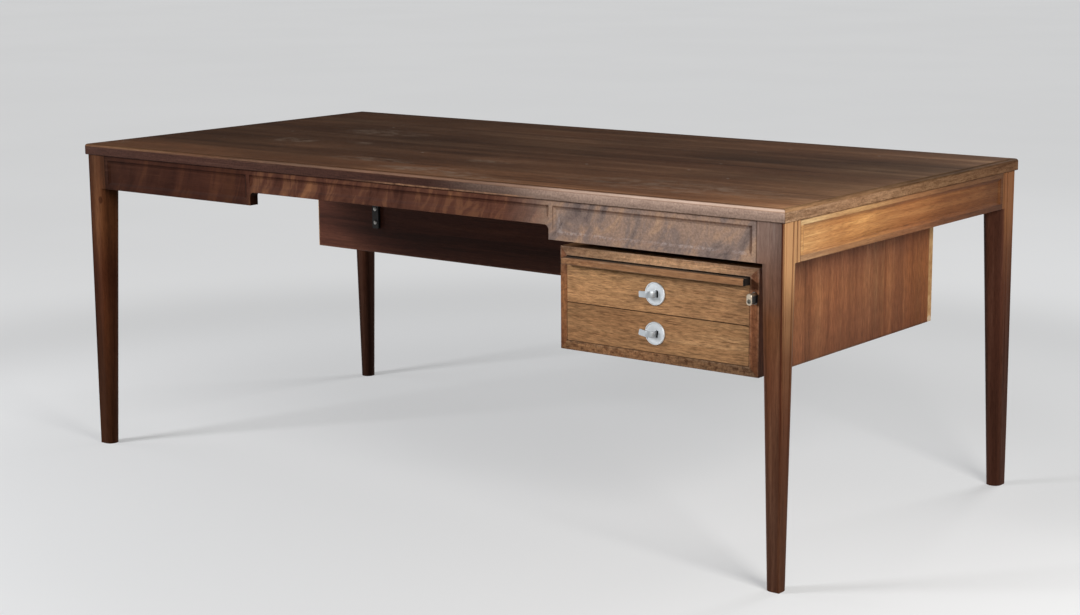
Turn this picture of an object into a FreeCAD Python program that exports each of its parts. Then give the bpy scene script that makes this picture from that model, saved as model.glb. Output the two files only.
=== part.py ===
import FreeCAD, Part
import math
import os

# Free-standing writing desk with a hanging pedestal of two drawers.
# Millimetres. X runs along the long front to the right, Y from front to back, Z up.
# The origin lies on the floor under the middle of the table top.

V = FreeCAD.Vector

# Whole desk
desk_length = 1900.0
desk_depth = 950.0
desk_height = 718.0

# Fits shared by all pieces
joint_clearance = 0.15
running_clearance = 0.3
turning_clearance = 0.08
cut_overrun = 4.0
edge_tolerance = 0.01

# Table top: a veneered board inside four mitred lippings
top_thickness = 25.0
lipping_width = 12.0
lipping_upper_radius = 6.0
lipping_lower_radius = 1.5
top_overhang = 4.0

# Legs: a square block at the aprons, then a tapered leg with three rounded corners
leg_block_width = 57.0
leg_knee_width = 52.0
foot_width = 33.0
leg_corner_radius = 16.0

# Moulding on the outer side of each leg, measured from the front or back arris
rebate_width = 3.5
rebate_depth = 2.0
rebate_fade_height = 130.0
quirk_place = 9.5
quirk_radius = 1.0
quirk_depth = 0.8
quirk_foot_place = 7.0
quirk_fade_height = 190.0
hollow_place = 35.0
hollow_radius = 3.2
hollow_depth = 2.4
hollow_foot_place = 20.5
hollow_fade_height = 150.0
far_hollow_place = 48.0
far_hollow_radius = 3.4
far_hollow_depth = 2.4

# Aprons: deep at the sides, back and ends of the front, shallow over the knees
apron_depth = 78.0
apron_thickness = 24.0
knee_apron_depth = 49.0
knee_reveal = 6.0
knee_cove_radius = 10.0
field_frame_width = 11.0
field_slope = 6.0
field_depth = 3.0
tenon_length = 24.0
tenon_thickness = 10.0
tenon_shoulder = 12.0

# Rails under the table top
cross_rail_width = 24.0
cross_rail_depth = 44.0
cross_rail_outset = 18.0
hanger_width = 22.0
hanger_inset = 20.0
hanger_toe_setback = 90.0

# Hanging pedestal: four boards mitred at the corners
pedestal_width = 458.0
pedestal_leg_gap = 13.0
pedestal_setback = 31.0
pedestal_gap = 15.0
pedestal_height = 206.0
pedestal_left_thickness = 15.0
pedestal_right_thickness = 20.0
pedestal_shelf_thickness = 18.0

# Long back board that closes the pedestal and screens the knees
screen_thickness = 16.0
screen_edge_radius = 1.5

# Iron straps that carry the free half of the back board
strap_width = 20.0
strap_thickness = 8.0
strap_end_inset = 205.0
strap_drop = 143.0
strap_foot_length = 60.0
strap_bend_radius = 4.0
strap_corner_radius = 3.0
strap_screw_low = 15.0
strap_screw_pitch = 34.0
screw_shank_radius = 2.2
screw_head_radius = 5.0
screw_head_height = 2.6
screw_bite = 13.0

# Drawers and writing slide in the pedestal's front
front_gap = 1.5
drawer_side_gap = 1.0
drawer_split_gap = 2.0
slide_thickness = 13.5
drawer_front_thickness = 20.0
drawer_length = 610.0
drawer_back_space = 52.0
drawer_board = 12.0
drawer_box_lift = 6.0
drawer_side_height = 56.0
drawer_back_drop = 8.0
drawer_bottom_thickness = 5.0
drawer_bottom_lift = 5.0
drawer_bottom_tongue = 5.0
tail_count = 3
tail_lap = 6.0
tail_wide_share = 0.74
tail_narrow_share = 0.52

# Runners
runner_height = 12.0
runner_bite = 6.0
runner_setback = 30.0
runner_end_space = 12.0
runner_nose_radius = 4.0
slide_runner_height = 9.0
slide_runner_width = 8.0

# Writing slide
slide_lip_reach = 21.0
slide_lip_depth = 6.0
slide_lip_radius = 2.5

# Drawer pulls: a dished disc with a bent tongue in its slot; turns are in degrees
pull_radius = 22.5
pull_rim_thickness = 3.0
pull_dish_depth = 0.8
pull_rim_width = 2.0
pull_edge_bevel = 0.8
slot_height = 14.0
slot_width = 6.0
slot_offset = 2.0
tongue_width = 12.0
tongue_thickness = 2.4
tongue_stand_off = 17.0
tongue_bend_radius = 11.0
tongue_reach = 24.5
tongue_tip_radius = 2.0
pull_turns = {"lower": 9.0, "upper": 0.0}

# Push lock with flat sides and round ends, on the pedestal's right board
lock_drop = 57.0
lock_width = 12.0
lock_height = 22.0
lock_stand_out = 19.0
lock_front_chamfer = 0.8
lock_travel = 10.0
lock_stem_depth = 28.0
lock_sleeve_wall = 1.0
lock_end_space = 5.0
lock_core_drop = 3.5
lock_core_radius = 4.4
lock_core_length = 20.0
key_width = 1.8
key_height = 6.4
key_depth = 9.0
key_eye_radius = 1.5

# Places worked out from the sizes above
frame_x = desk_length / 2 - top_overhang
frame_y = desk_depth / 2 - top_overhang
under_top = desk_height - top_thickness
apron_bottom = under_top - apron_depth
knee_bottom = under_top - knee_apron_depth
apron_back_y = frame_y - apron_thickness
pedestal_right = frame_x - leg_block_width - pedestal_leg_gap
pedestal_left = pedestal_right - pedestal_width
knee_half_width = pedestal_left - knee_reveal
cross_rail_places = (-knee_half_width - cross_rail_outset, 0)
pedestal_front = -frame_y + pedestal_setback
screen_front = pedestal_front + drawer_length + drawer_back_space
pedestal_top = apron_bottom - pedestal_gap
pedestal_bottom = pedestal_top - pedestal_height
bay_left = pedestal_left + pedestal_left_thickness
bay_right = pedestal_right - pedestal_right_thickness
bay_floor = pedestal_bottom + pedestal_shelf_thickness
bay_ceiling = pedestal_top - pedestal_shelf_thickness
slide_top = bay_ceiling - front_gap
slide_bottom = slide_top - slide_thickness
drawer_room = slide_bottom - bay_floor - 2 * front_gap - drawer_split_gap
drawer_front_height = drawer_room / 2
front_left = bay_left + drawer_side_gap
front_right = bay_right - drawer_side_gap
pull_x = (front_left + front_right) / 2
lock_x = pedestal_right - pedestal_right_thickness / 2
lock_z = pedestal_top - lock_drop
lock_sleeve_end = pedestal_front + lock_stem_depth + lock_travel + lock_end_space + lock_sleeve_wall


def box(x0, x1, y0, y1, z0, z1):
    """A block between two opposite corners."""
    return Part.makeBox(x1 - x0, y1 - y0, z1 - z0, V(x0, y0, z0))


def prism(points, along):
    """A closed outline of straight edges, extruded."""
    outline = Part.makePolygon(list(points) + [points[0]])
    return Part.Face(outline).extrude(along)


def flat_sided(first, second):
    """A solid with flat sides between two outlines that have as many corners."""
    outlines = [first, second]
    for number in range(len(first)):
        following = (number + 1) % len(first)
        outlines.append([first[number], first[following], second[following], second[number]])
    faces = [Part.Face(Part.makePolygon(outline + outline[:1])) for outline in outlines]
    return Part.makeSolid(Part.makeShell(faces))


def arc_through(start, middle, end):
    """An arc edge through three points."""
    return Part.Arc(start, middle, end).toShape()


def corner_arc(centre, radius, start_degrees, place):
    """A quarter arc; place turns flat (u, v) into a point in space."""
    angles = [math.radians(start_degrees + step) for step in (0, 45, 90)]
    points = []
    for angle in angles:
        u = centre[0] + radius * math.cos(angle)
        v = centre[1] + radius * math.sin(angle)
        points.append(place(u, v))
    return arc_through(*points)


def closed_face(edges):
    """A flat face inside edges given in any order."""
    return Part.Face(Part.Wire(Part.sortEdges(edges)[0]))


def edges_on(shape, **planes):
    """Edges whose ends lie on every plane named, such as x=..., z=..."""
    def lies_on(edge):
        for axis, place in planes.items():
            offsets = [abs(getattr(vertex.Point, axis) - place) for vertex in edge.Vertexes]
            if max(offsets) > edge_tolerance:
                return False
        return True

    return [edge for edge in shape.Edges if lies_on(edge)]


def mirrored_x(shape):
    """The same piece for the other end of the desk."""
    return shape.mirror(V(0, 0, 0), V(1, 0, 0))


def mirrored_y(shape):
    """The same piece for the other long side of the desk."""
    return shape.mirror(V(0, 0, 0), V(0, 1, 0))


def rod_y(x, z, radius, y0, y1):
    """A round bar along Y."""
    return Part.makeCylinder(radius, y1 - y0, V(x, y0, z), V(0, 1, 0))


def lock_rod(growth, y0, y1):
    """The lock's outline grown all round: flat sides and round ends, along Y."""
    radius = lock_width / 2 + growth
    straight = (lock_height - lock_width) / 2
    left = lock_x - radius
    right = lock_x + radius
    low = lock_z - straight
    high = lock_z + straight
    edges = [
        Part.makeLine(V(left, y0, low), V(left, y0, high)),
        arc_through(V(left, y0, high), V(lock_x, y0, high + radius), V(right, y0, high)),
        Part.makeLine(V(right, y0, high), V(right, y0, low)),
        arc_through(V(right, y0, low), V(lock_x, y0, low - radius), V(left, y0, low)),
    ]
    return closed_face(edges).extrude(V(0, y1 - y0, 0))


# Table top

def table_top():
    """The board and the four lippings, mitred where they meet."""
    half_x = desk_length / 2
    half_y = desk_depth / 2
    board_x = half_x - lipping_width
    board_y = half_y - lipping_width
    slab = box(-half_x, half_x, -half_y, half_y, under_top, desk_height)
    slab = slab.makeFillet(lipping_upper_radius, edges_on(slab, z=desk_height))
    slab = slab.makeFillet(lipping_lower_radius, edges_on(slab, z=under_top))
    board = box(-board_x, board_x, -board_y, board_y, under_top, desk_height)
    ring = slab.cut(board)
    rise = V(0, 0, top_thickness + 2 * cut_overrun)
    base = under_top - cut_overrun
    front_sector = [(-half_x, -half_y), (half_x, -half_y), (board_x, -board_y), (-board_x, -board_y)]
    right_sector = [(half_x, -half_y), (half_x, half_y), (board_x, board_y), (board_x, -board_y)]
    front = ring.common(prism([V(x, y, base) for x, y in front_sector], rise))
    right = ring.common(prism([V(x, y, base) for x, y in right_sector], rise))
    return {
        "top_board": board,
        "lipping_front": front,
        "lipping_back": mirrored_y(front),
        "lipping_right": right,
        "lipping_left": mirrored_x(right),
    }


# Legs

def leg_point(across, along, z):
    """A point of the front right leg, measured from its outer arris."""
    return V(frame_x - across, -frame_y + along, z)


def lower_leg():
    """The leg below its block: straight and sharp outside, tapered and round inside."""
    def square(width, z):
        places = ((0, 0), (width, 0), (width, width), (0, width))
        return [leg_point(across, along, z) for across, along in places]

    taper = flat_sided(square(foot_width, 0), square(leg_knee_width, apron_bottom))
    arris = edges_on(taper, x=frame_x, y=-frame_y)[0]
    upright = [edge for edge in taper.Edges if edge.BoundBox.ZLength > edge_tolerance]
    rounded = [edge for edge in upright if not edge.isSame(arris)]
    return taper.makeFillet(leg_corner_radius, rounded)


def block_groove(place, radius, depth):
    """A round groove down the outer side of the leg's square block."""
    base = leg_point(depth - radius, place, apron_bottom - cut_overrun)
    return Part.makeCylinder(radius, apron_depth + 2 * cut_overrun, base, V(0, 0, 1))


def fading_groove(place, foot_place, radius, depth, fade_height):
    """A round groove from the top of the leg that runs out above the foot."""
    end = leg_point(-radius, foot_place, fade_height)
    start = leg_point(depth - radius, place, under_top)
    run = start - end
    length = run.Length + 2 * radius
    return Part.makeCylinder(radius, length, end, run)


def fading_rebate():
    """A small step along the outer arris that runs out above the foot."""
    def outline(z, depth):
        low_x = frame_x - depth
        high_x = low_x + rebate_depth + cut_overrun
        low_y = -frame_y - cut_overrun
        high_y = -frame_y + rebate_width
        return [V(low_x, low_y, z), V(high_x, low_y, z), V(high_x, high_y, z), V(low_x, high_y, z)]

    straight_run = V(0, 0, apron_bottom - under_top - cut_overrun)
    fading_run = V(rebate_depth, 0, rebate_fade_height - apron_bottom)
    straight = prism(outline(under_top + cut_overrun, rebate_depth), straight_run)
    fading = prism(outline(apron_bottom, rebate_depth), fading_run)
    return [straight, fading]


def tenon_mortises():
    """Mortises in the front right leg for the front and the side apron."""
    half = tenon_thickness / 2 + joint_clearance
    depth = tenon_length + joint_clearance
    low = apron_bottom + tenon_shoulder - joint_clearance
    high = under_top - tenon_shoulder + joint_clearance
    middle_y = -frame_y + apron_thickness / 2
    middle_x = frame_x - apron_thickness / 2
    inner_x = frame_x - leg_block_width
    inner_y = -frame_y + leg_block_width
    front = box(inner_x - cut_overrun, inner_x + depth, middle_y - half, middle_y + half, low, high)
    side = box(middle_x - half, middle_x + half, inner_y - depth, inner_y + cut_overrun, low, high)
    return [front, side]


def leg():
    """The front right leg."""
    inner_x = frame_x - leg_block_width
    inner_y = -frame_y + leg_block_width
    block = box(inner_x, frame_x, -frame_y, inner_y, apron_bottom, under_top)
    cutters = fading_rebate() + tenon_mortises()
    cutters.append(fading_groove(
        quirk_place, quirk_foot_place, quirk_radius, quirk_depth, quirk_fade_height))
    cutters.append(fading_groove(
        hollow_place, hollow_foot_place, hollow_radius, hollow_depth, hollow_fade_height))
    cutters.append(block_groove(far_hollow_place, far_hollow_radius, far_hollow_depth))
    return block.fuse(lower_leg()).removeSplitter().cut(cutters)


def legs():
    """Four legs, mirrored from one."""
    front_right = leg()
    front_left = mirrored_x(front_right)
    return {
        "leg_front_right": front_right,
        "leg_front_left": front_left,
        "leg_back_right": mirrored_y(front_right),
        "leg_back_left": mirrored_y(front_left),
    }


# Aprons, drawn with the outer face at n = 0 and u along the length

def field_pocket(u0, u1, z0, z1):
    """A sunk field with sloping walls."""
    def outline(n):
        inset = field_slope * n / field_depth
        corners = ((u0, z0, 1, 1), (u1, z0, -1, 1), (u1, z1, -1, -1), (u0, z1, 1, -1))
        return [V(u + inset * right, n, z + inset * up) for u, z, right, up in corners]

    return flat_sided(outline(-cut_overrun), outline(field_depth))


def apron(length, fields):
    """A rail with a tenon at each end and sunk fields on its outer face."""
    half = length / 2
    rail = box(-half, half, 0, apron_thickness, apron_bottom, under_top)
    reach = half + tenon_length
    cheek = (apron_thickness - tenon_thickness) / 2
    tenon = box(
        -reach, reach, cheek, apron_thickness - cheek,
        apron_bottom + tenon_shoulder, under_top - tenon_shoulder)
    return rail.fuse(tenon).removeSplitter().cut([field_pocket(*field) for field in fields])


def knee_notch():
    """The cut over the knees with a cove in each upper corner."""
    low = apron_bottom - cut_overrun
    radius = knee_cove_radius

    def place(u, v):
        return V(u, -cut_overrun, v)

    wide = knee_half_width
    narrow = knee_half_width - radius
    edges = [
        Part.makeLine(place(-wide, low), place(wide, low)),
        Part.makeLine(place(wide, low), place(wide, knee_bottom - radius)),
        corner_arc((narrow, knee_bottom - radius), radius, 0, place),
        Part.makeLine(place(narrow, knee_bottom), place(-narrow, knee_bottom)),
        corner_arc((-narrow, knee_bottom - radius), radius, 90, place),
        Part.makeLine(place(-wide, knee_bottom - radius), place(-wide, low)),
    ]
    return closed_face(edges).extrude(V(0, apron_thickness + 2 * cut_overrun, 0))


def aprons():
    """Front, back and side aprons between the leg blocks."""
    front_length = 2 * (frame_x - leg_block_width)
    side_length = 2 * (frame_y - leg_block_width)
    end = front_length / 2 - field_frame_width
    side_end = side_length / 2 - field_frame_width
    low = apron_bottom + field_frame_width
    knee_low = knee_bottom + field_frame_width
    high = under_top - field_frame_width
    knee = knee_half_width
    beside = knee + field_frame_width
    front_fields = [(-end, -beside, low, high), (-knee, knee, knee_low, high), (beside, end, low, high)]
    front = apron(front_length, front_fields).cut(knee_notch())
    back = apron(front_length, [(-end, end, low, high)])
    side = apron(side_length, [(-side_end, side_end, low, high)])
    front.translate(V(0, -frame_y, 0))
    back.translate(V(0, -frame_y, 0))
    back.rotate(V(0, 0, 0), V(0, 0, 1), 180)
    side.rotate(V(0, 0, 0), V(0, 0, 1), 90)
    side.translate(V(frame_x, 0, 0))
    return {
        "apron_front": front,
        "apron_back": back,
        "apron_right": side,
        "apron_left": mirrored_x(side),
    }


# Rails under the top

def rails():
    """Cross rails under the top and the two hangers that carry the pedestal."""
    made = {}
    for name, x in zip(("left", "middle"), cross_rail_places):
        made["cross_rail_" + name] = box(
            x - cross_rail_width / 2, x + cross_rail_width / 2, -apron_back_y, apron_back_y,
            under_top - cross_rail_depth, under_top)
    toe_front = -apron_back_y + hanger_toe_setback
    toe_back = screen_front + screen_thickness
    profile = [
        (-apron_back_y, under_top), (-apron_back_y, apron_bottom), (toe_front, apron_bottom),
        (toe_front, pedestal_top), (toe_back, pedestal_top), (toe_back, apron_bottom),
        (apron_back_y, apron_bottom), (apron_back_y, under_top)]
    starts = {"left": pedestal_left + hanger_inset, "right": pedestal_right - hanger_inset - hanger_width}
    for name, x in starts.items():
        made["hanger_" + name] = prism([V(x, y, z) for y, z in profile], V(hanger_width, 0, 0))
    return made


# Back board and its straps

def screw(x, z):
    """A pan-headed wood screw driven towards the back through a strap."""
    seat = screen_front - strap_thickness
    crown = seat - screw_head_height
    head = rod_y(x, z, screw_head_radius, crown, seat)
    shank = rod_y(x, z, screw_shank_radius, seat, screen_front + screw_bite)
    return head.fuse(shank).removeSplitter()


def strap_and_screws(x):
    """An iron strap bent under the table top, with its two screws."""
    back = screen_front
    front = screen_front - strap_thickness
    low = pedestal_top - strap_drop
    foot_low = under_top - strap_thickness
    foot_front = front - strap_foot_length
    inner = strap_bend_radius
    outer = strap_bend_radius + strap_thickness
    x0 = x - strap_width / 2

    def place(u, v):
        return V(x0, u, v)

    edges = [
        Part.makeLine(place(back, low), place(back, under_top - outer)),
        corner_arc((back - outer, under_top - outer), outer, 0, place),
        Part.makeLine(place(back - outer, under_top), place(foot_front, under_top)),
        Part.makeLine(place(foot_front, under_top), place(foot_front, foot_low)),
        Part.makeLine(place(foot_front, foot_low), place(front - inner, foot_low)),
        corner_arc((front - inner, foot_low - inner), inner, 0, place),
        Part.makeLine(place(front, foot_low - inner), place(front, low)),
        Part.makeLine(place(front, low), place(back, low)),
    ]
    strap = closed_face(edges).extrude(V(strap_width, 0, 0))
    corners = edges_on(strap, z=low, x=x0) + edges_on(strap, z=low, x=x0 + strap_width)
    strap = strap.makeFillet(strap_corner_radius, corners)
    heights = [low + strap_screw_low, low + strap_screw_low + strap_screw_pitch]
    hole = screw_shank_radius + joint_clearance
    holes = [rod_y(x, z, hole, front - cut_overrun, back + cut_overrun) for z in heights]
    return strap.cut(holes), [screw(x, z) for z in heights], heights


def screen_and_straps():
    """The long back board, its straps and their screws."""
    board = box(
        -pedestal_right, pedestal_right, screen_front, screen_front + screen_thickness,
        pedestal_bottom, pedestal_top)
    back = screen_front + screen_thickness
    lower = edges_on(board, z=pedestal_bottom, y=screen_front) + edges_on(board, z=pedestal_bottom, y=back)
    board = board.makeFillet(screen_edge_radius, lower)
    made = {}
    places = {"left": -pedestal_right + strap_end_inset, "right": pedestal_left - strap_end_inset}
    for name, x in places.items():
        strap, screws, heights = strap_and_screws(x)
        made["strap_" + name] = strap
        for level, piece in zip(("lower", "upper"), screws):
            made["strap_screw_" + name + "_" + level] = piece
        hole = screw_shank_radius + joint_clearance
        depth = screen_front + screw_bite + joint_clearance
        board = board.cut([rod_y(x, z, hole, screen_front - cut_overrun, depth) for z in heights])
    made["back_board"] = board
    return made


# Pedestal

def pedestal():
    """Four boards mitred round the drawers, open at the front."""
    run = V(0, screen_front - pedestal_front, 0)
    outer = {
        "lb": (pedestal_left, pedestal_bottom), "rb": (pedestal_right, pedestal_bottom),
        "rt": (pedestal_right, pedestal_top), "lt": (pedestal_left, pedestal_top)}
    inner = {
        "lb": (bay_left, bay_floor), "rb": (bay_right, bay_floor),
        "rt": (bay_right, bay_ceiling), "lt": (bay_left, bay_ceiling)}

    def board(first, second):
        corners = [outer[first], outer[second], inner[second], inner[first]]
        return prism([V(x, pedestal_front, z) for x, z in corners], run)

    lock_bore = lock_rod(turning_clearance + lock_sleeve_wall, pedestal_front - cut_overrun, lock_sleeve_end)
    return {
        "pedestal_left": board("lb", "lt"),
        "pedestal_right": board("rb", "rt").cut(lock_bore),
        "pedestal_top": board("lt", "rt"),
        "pedestal_bottom": board("lb", "rb"),
    }


# Drawers

def tail(x0, x1, z, pitch, front_y, shoulder_y, room):
    """One dovetail of a drawer side, wider towards the drawer's front."""
    wide = pitch * tail_wide_share / 2 + room
    narrow = pitch * tail_narrow_share / 2 + room
    end_y = front_y - room
    corners = [(end_y, z - wide), (end_y, z + wide), (shoulder_y, z + narrow), (shoulder_y, z - narrow)]
    return prism([V(x0, y, height) for y, height in corners], V(x1 - x0, 0, 0))


def drawer(level, base):
    """All pieces of one drawer whose front stands on the given height."""
    face_y = pedestal_front
    shoulder_y = face_y + drawer_front_thickness
    end_y = face_y + drawer_length
    tail_y = face_y + tail_lap
    side_low = base + drawer_box_lift
    side_high = side_low + drawer_side_height
    pitch = drawer_side_height / tail_count
    heights = [side_low + pitch * (2 * number + 1) / 2 for number in range(tail_count)]
    inner_left = front_left + drawer_board
    inner_right = front_right - drawer_board
    bottom_low = side_low + drawer_bottom_lift
    bottom_high = bottom_low + drawer_bottom_thickness

    front = box(front_left, front_right, face_y, shoulder_y, base, base + drawer_front_height)
    sockets = []
    for x0, x1 in ((front_left - cut_overrun, inner_left), (inner_right, front_right + cut_overrun)):
        sockets += [tail(x0, x1, z, pitch, tail_y, shoulder_y, joint_clearance) for z in heights]
    groove_x = drawer_bottom_tongue + joint_clearance
    groove = box(
        inner_left - groove_x, inner_right + groove_x,
        shoulder_y - drawer_bottom_tongue - joint_clearance, end_y + cut_overrun,
        bottom_low - joint_clearance, bottom_high + joint_clearance)
    front = front.cut(sockets + [groove])

    runner_z = base + drawer_front_height / 2
    slot_low = runner_z - runner_height / 2 - running_clearance
    slot_high = runner_z + runner_height / 2 + running_clearance
    slot_start = face_y + runner_setback - running_clearance
    slot_depth = runner_bite + drawer_side_gap

    def side(x0, x1, slot_x0, slot_x1):
        board = box(x0, x1, shoulder_y, end_y, side_low, side_high)
        tails = [tail(x0, x1, z, pitch, tail_y, shoulder_y, 0) for z in heights]
        slot = box(slot_x0, slot_x1, slot_start, end_y + cut_overrun, slot_low, slot_high)
        return board.fuse(tails).removeSplitter().cut([groove, slot])

    left = side(front_left, inner_left, front_left - cut_overrun, front_left + slot_depth)
    right = side(inner_right, front_right, front_right - slot_depth, front_right + cut_overrun)
    back = box(
        inner_left, inner_right, end_y - drawer_board, end_y,
        bottom_high + joint_clearance, side_high - drawer_back_drop)
    bottom = box(
        inner_left - drawer_bottom_tongue, inner_right + drawer_bottom_tongue,
        shoulder_y - drawer_bottom_tongue, end_y, bottom_low, bottom_high)
    name = "drawer_" + level + "_"
    made = {
        name + "front": front, name + "left_side": left, name + "right_side": right,
        name + "back": back, name + "bottom": bottom}
    made.update(pull(level, base + drawer_front_height / 2))
    return made


def runners(level, base):
    """The two wooden runners of one drawer, rounded at their front ends."""
    z = base + drawer_front_height / 2
    low = z - runner_height / 2
    high = z + runner_height / 2
    start = pedestal_front + runner_setback
    end = pedestal_front + drawer_length + runner_end_space
    reach = drawer_side_gap + runner_bite
    made = {}
    for hand, x0 in (("left", bay_left), ("right", bay_right - reach)):
        strip = box(x0, x0 + reach, start, end, low, high)
        nose = edges_on(strip, y=start, z=low) + edges_on(strip, y=start, z=high)
        made["runner_" + level + "_" + hand] = strip.makeFillet(runner_nose_radius, nose)
    return made


# Drawer pulls

def pull(level, z):
    """A dished disc and the bent tongue that stands in its slot."""
    back = pedestal_front
    face = back - pull_rim_thickness
    rim = pull_radius - pull_rim_width
    dish = face + pull_dish_depth
    bevel = pull_edge_bevel
    profile = Part.makePolygon([
        V(0, back, 0), V(pull_radius, back, 0), V(pull_radius, face + bevel, 0),
        V(pull_radius - bevel, face, 0), V(rim, face, 0), V(rim - pull_dish_depth, dish, 0),
        V(0, dish, 0), V(0, back, 0)])
    disc = Part.Face(profile).revolve(V(0, 0, 0), V(0, 1, 0), 360)
    slot = box(
        slot_offset, slot_offset + slot_width, face - cut_overrun, back + cut_overrun,
        -slot_height / 2, slot_height / 2)
    disc = disc.cut(slot)

    root = slot_offset
    outer = tongue_bend_radius + tongue_thickness
    stand = face - tongue_stand_off
    low = -tongue_width / 2

    def place(u, v):
        return V(u, v, low)

    bend_x = root - tongue_bend_radius
    bend_y = stand + outer
    inner_y = stand + tongue_thickness
    edges = [
        Part.makeLine(place(root, back), place(root, bend_y)),
        corner_arc((bend_x, bend_y), tongue_bend_radius, 270, place),
        Part.makeLine(place(bend_x, inner_y), place(-tongue_reach, inner_y)),
        Part.makeLine(place(-tongue_reach, inner_y), place(-tongue_reach, stand)),
        Part.makeLine(place(-tongue_reach, stand), place(bend_x, stand)),
        corner_arc((bend_x, bend_y), outer, 270, place),
        Part.makeLine(place(root + tongue_thickness, bend_y), place(root + tongue_thickness, back)),
        Part.makeLine(place(root + tongue_thickness, back), place(root, back)),
    ]
    tongue = closed_face(edges).extrude(V(0, 0, tongue_width))
    tips = edges_on(tongue, x=-tongue_reach, z=low) + edges_on(tongue, x=-tongue_reach, z=-low)
    tongue = tongue.makeFillet(tongue_tip_radius, tips)
    for piece in (disc, tongue):
        piece.rotate(V(0, 0, 0), V(0, 1, 0), pull_turns[level])
        piece.translate(V(pull_x, 0, z))
    return {"pull_disc_" + level: disc, "pull_tongue_" + level: tongue}


# Writing slide

def writing_slide():
    """The leaf, its wooden lip and the two strips that it runs on."""
    lip_front = pedestal_front - slide_lip_reach
    lip_back = lip_front + slide_lip_depth
    lip = box(front_left, front_right, lip_front, lip_back, slide_bottom, slide_top)
    arrises = edges_on(lip, y=lip_front, z=slide_top) + edges_on(lip, y=lip_front, z=slide_bottom)
    lip = lip.makeFillet(slide_lip_radius, arrises)
    leaf_end = screen_front - running_clearance
    leaf = box(front_left, front_right, lip_back, leaf_end, slide_bottom, slide_top)
    start = pedestal_front + runner_setback
    end = screen_front
    high = slide_bottom - running_clearance
    low = high - slide_runner_height
    left = box(bay_left, bay_left + slide_runner_width, start, end, low, high)
    right = box(bay_right - slide_runner_width, bay_right, start, end, low, high)
    return {
        "slide_leaf": leaf, "slide_lip": lip,
        "slide_runner_left": left, "slide_runner_right": right}


# Lock

def lock():
    """A sleeve in the board's front edge, the push cylinder in it and the turning core."""
    face = pedestal_front
    head_front = face - lock_stand_out
    sleeve = lock_rod(turning_clearance + lock_sleeve_wall, face, lock_sleeve_end)
    hollow = lock_rod(turning_clearance, face - cut_overrun, lock_sleeve_end - lock_sleeve_wall)
    barrel = lock_rod(0, head_front, face + lock_stem_depth)
    barrel = barrel.makeChamfer(lock_front_chamfer, edges_on(barrel, y=head_front))
    core_z = lock_z - lock_core_drop
    core_end = head_front + lock_core_length
    core_bore = lock_core_radius + turning_clearance
    core_room = core_end + running_clearance
    barrel = barrel.cut(rod_y(lock_x, core_z, core_bore, head_front - cut_overrun, core_room))
    core = rod_y(lock_x, core_z, lock_core_radius, head_front, core_end)
    key_end = head_front + key_depth
    key_slot = box(
        lock_x - key_width / 2, lock_x + key_width / 2, head_front - cut_overrun, key_end,
        core_z - key_height / 2, core_z + key_height / 2)
    eye_z = core_z - key_height / 2 + key_eye_radius
    key_eye = rod_y(lock_x, eye_z, key_eye_radius, head_front - cut_overrun, key_end)
    return {
        "lock_sleeve": sleeve.cut(hollow), "lock_cylinder": barrel,
        "lock_core": core.cut([key_slot, key_eye])}


def build():
    """Every piece of the desk by name."""
    pieces = {}
    pieces.update(table_top())
    pieces.update(legs())
    pieces.update(aprons())
    pieces.update(rails())
    pieces.update(screen_and_straps())
    pieces.update(pedestal())
    lower_base = bay_floor + front_gap
    upper_base = lower_base + drawer_front_height + drawer_split_gap
    for level, base in (("lower", lower_base), ("upper", upper_base)):
        pieces.update(drawer(level, base))
        pieces.update(runners(level, base))
    pieces.update(writing_slide())
    pieces.update(lock())
    return pieces


os.makedirs("parts", exist_ok=True)
for name, shape in build().items():
    shape.exportStep("parts/" + name + ".step")
    print(name, len(shape.Solids), shape.isValid())
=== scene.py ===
import math

import bmesh
import bpy
from mathutils import Matrix, Vector


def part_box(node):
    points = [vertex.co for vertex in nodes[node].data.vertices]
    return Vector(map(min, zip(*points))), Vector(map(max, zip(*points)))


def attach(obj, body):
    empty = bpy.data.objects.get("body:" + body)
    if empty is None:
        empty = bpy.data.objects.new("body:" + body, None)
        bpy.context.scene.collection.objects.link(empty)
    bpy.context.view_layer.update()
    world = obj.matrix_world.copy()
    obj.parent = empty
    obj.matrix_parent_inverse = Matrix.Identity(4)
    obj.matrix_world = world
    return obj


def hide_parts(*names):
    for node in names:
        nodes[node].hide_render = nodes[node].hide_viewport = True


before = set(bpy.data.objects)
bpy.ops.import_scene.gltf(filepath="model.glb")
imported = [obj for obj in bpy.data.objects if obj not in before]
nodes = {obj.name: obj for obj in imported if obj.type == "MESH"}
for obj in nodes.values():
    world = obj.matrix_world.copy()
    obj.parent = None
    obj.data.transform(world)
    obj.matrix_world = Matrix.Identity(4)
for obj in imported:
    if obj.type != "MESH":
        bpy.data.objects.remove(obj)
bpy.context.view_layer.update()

scene = bpy.context.scene
HANDS, LEVELS = ("left", "right"), ("lower", "upper")


# Places and sizes on the desk, in metres

HALVES = HALF_LENGTH, HALF_DEPTH = 0.950, 0.475
TOP_HEIGHT, ROUNDING_LOW, UNDER_TOP = 0.718, 0.712, 0.693
ROUNDING = TOP_HEIGHT - ROUNDING_LOW
LEG_FACE_X, LEG_FACE_Y = 0.946, 0.471
SEAM_X, SEAM_Y = (-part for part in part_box("leg_front_left")[1][:2])
APRON_END_X, APRON_END_Y, APRON_LOW = 0.89, 0.41, 0.615
KNEE_HALF, KNEE_BOTTOM = 0.412, 0.644
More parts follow.
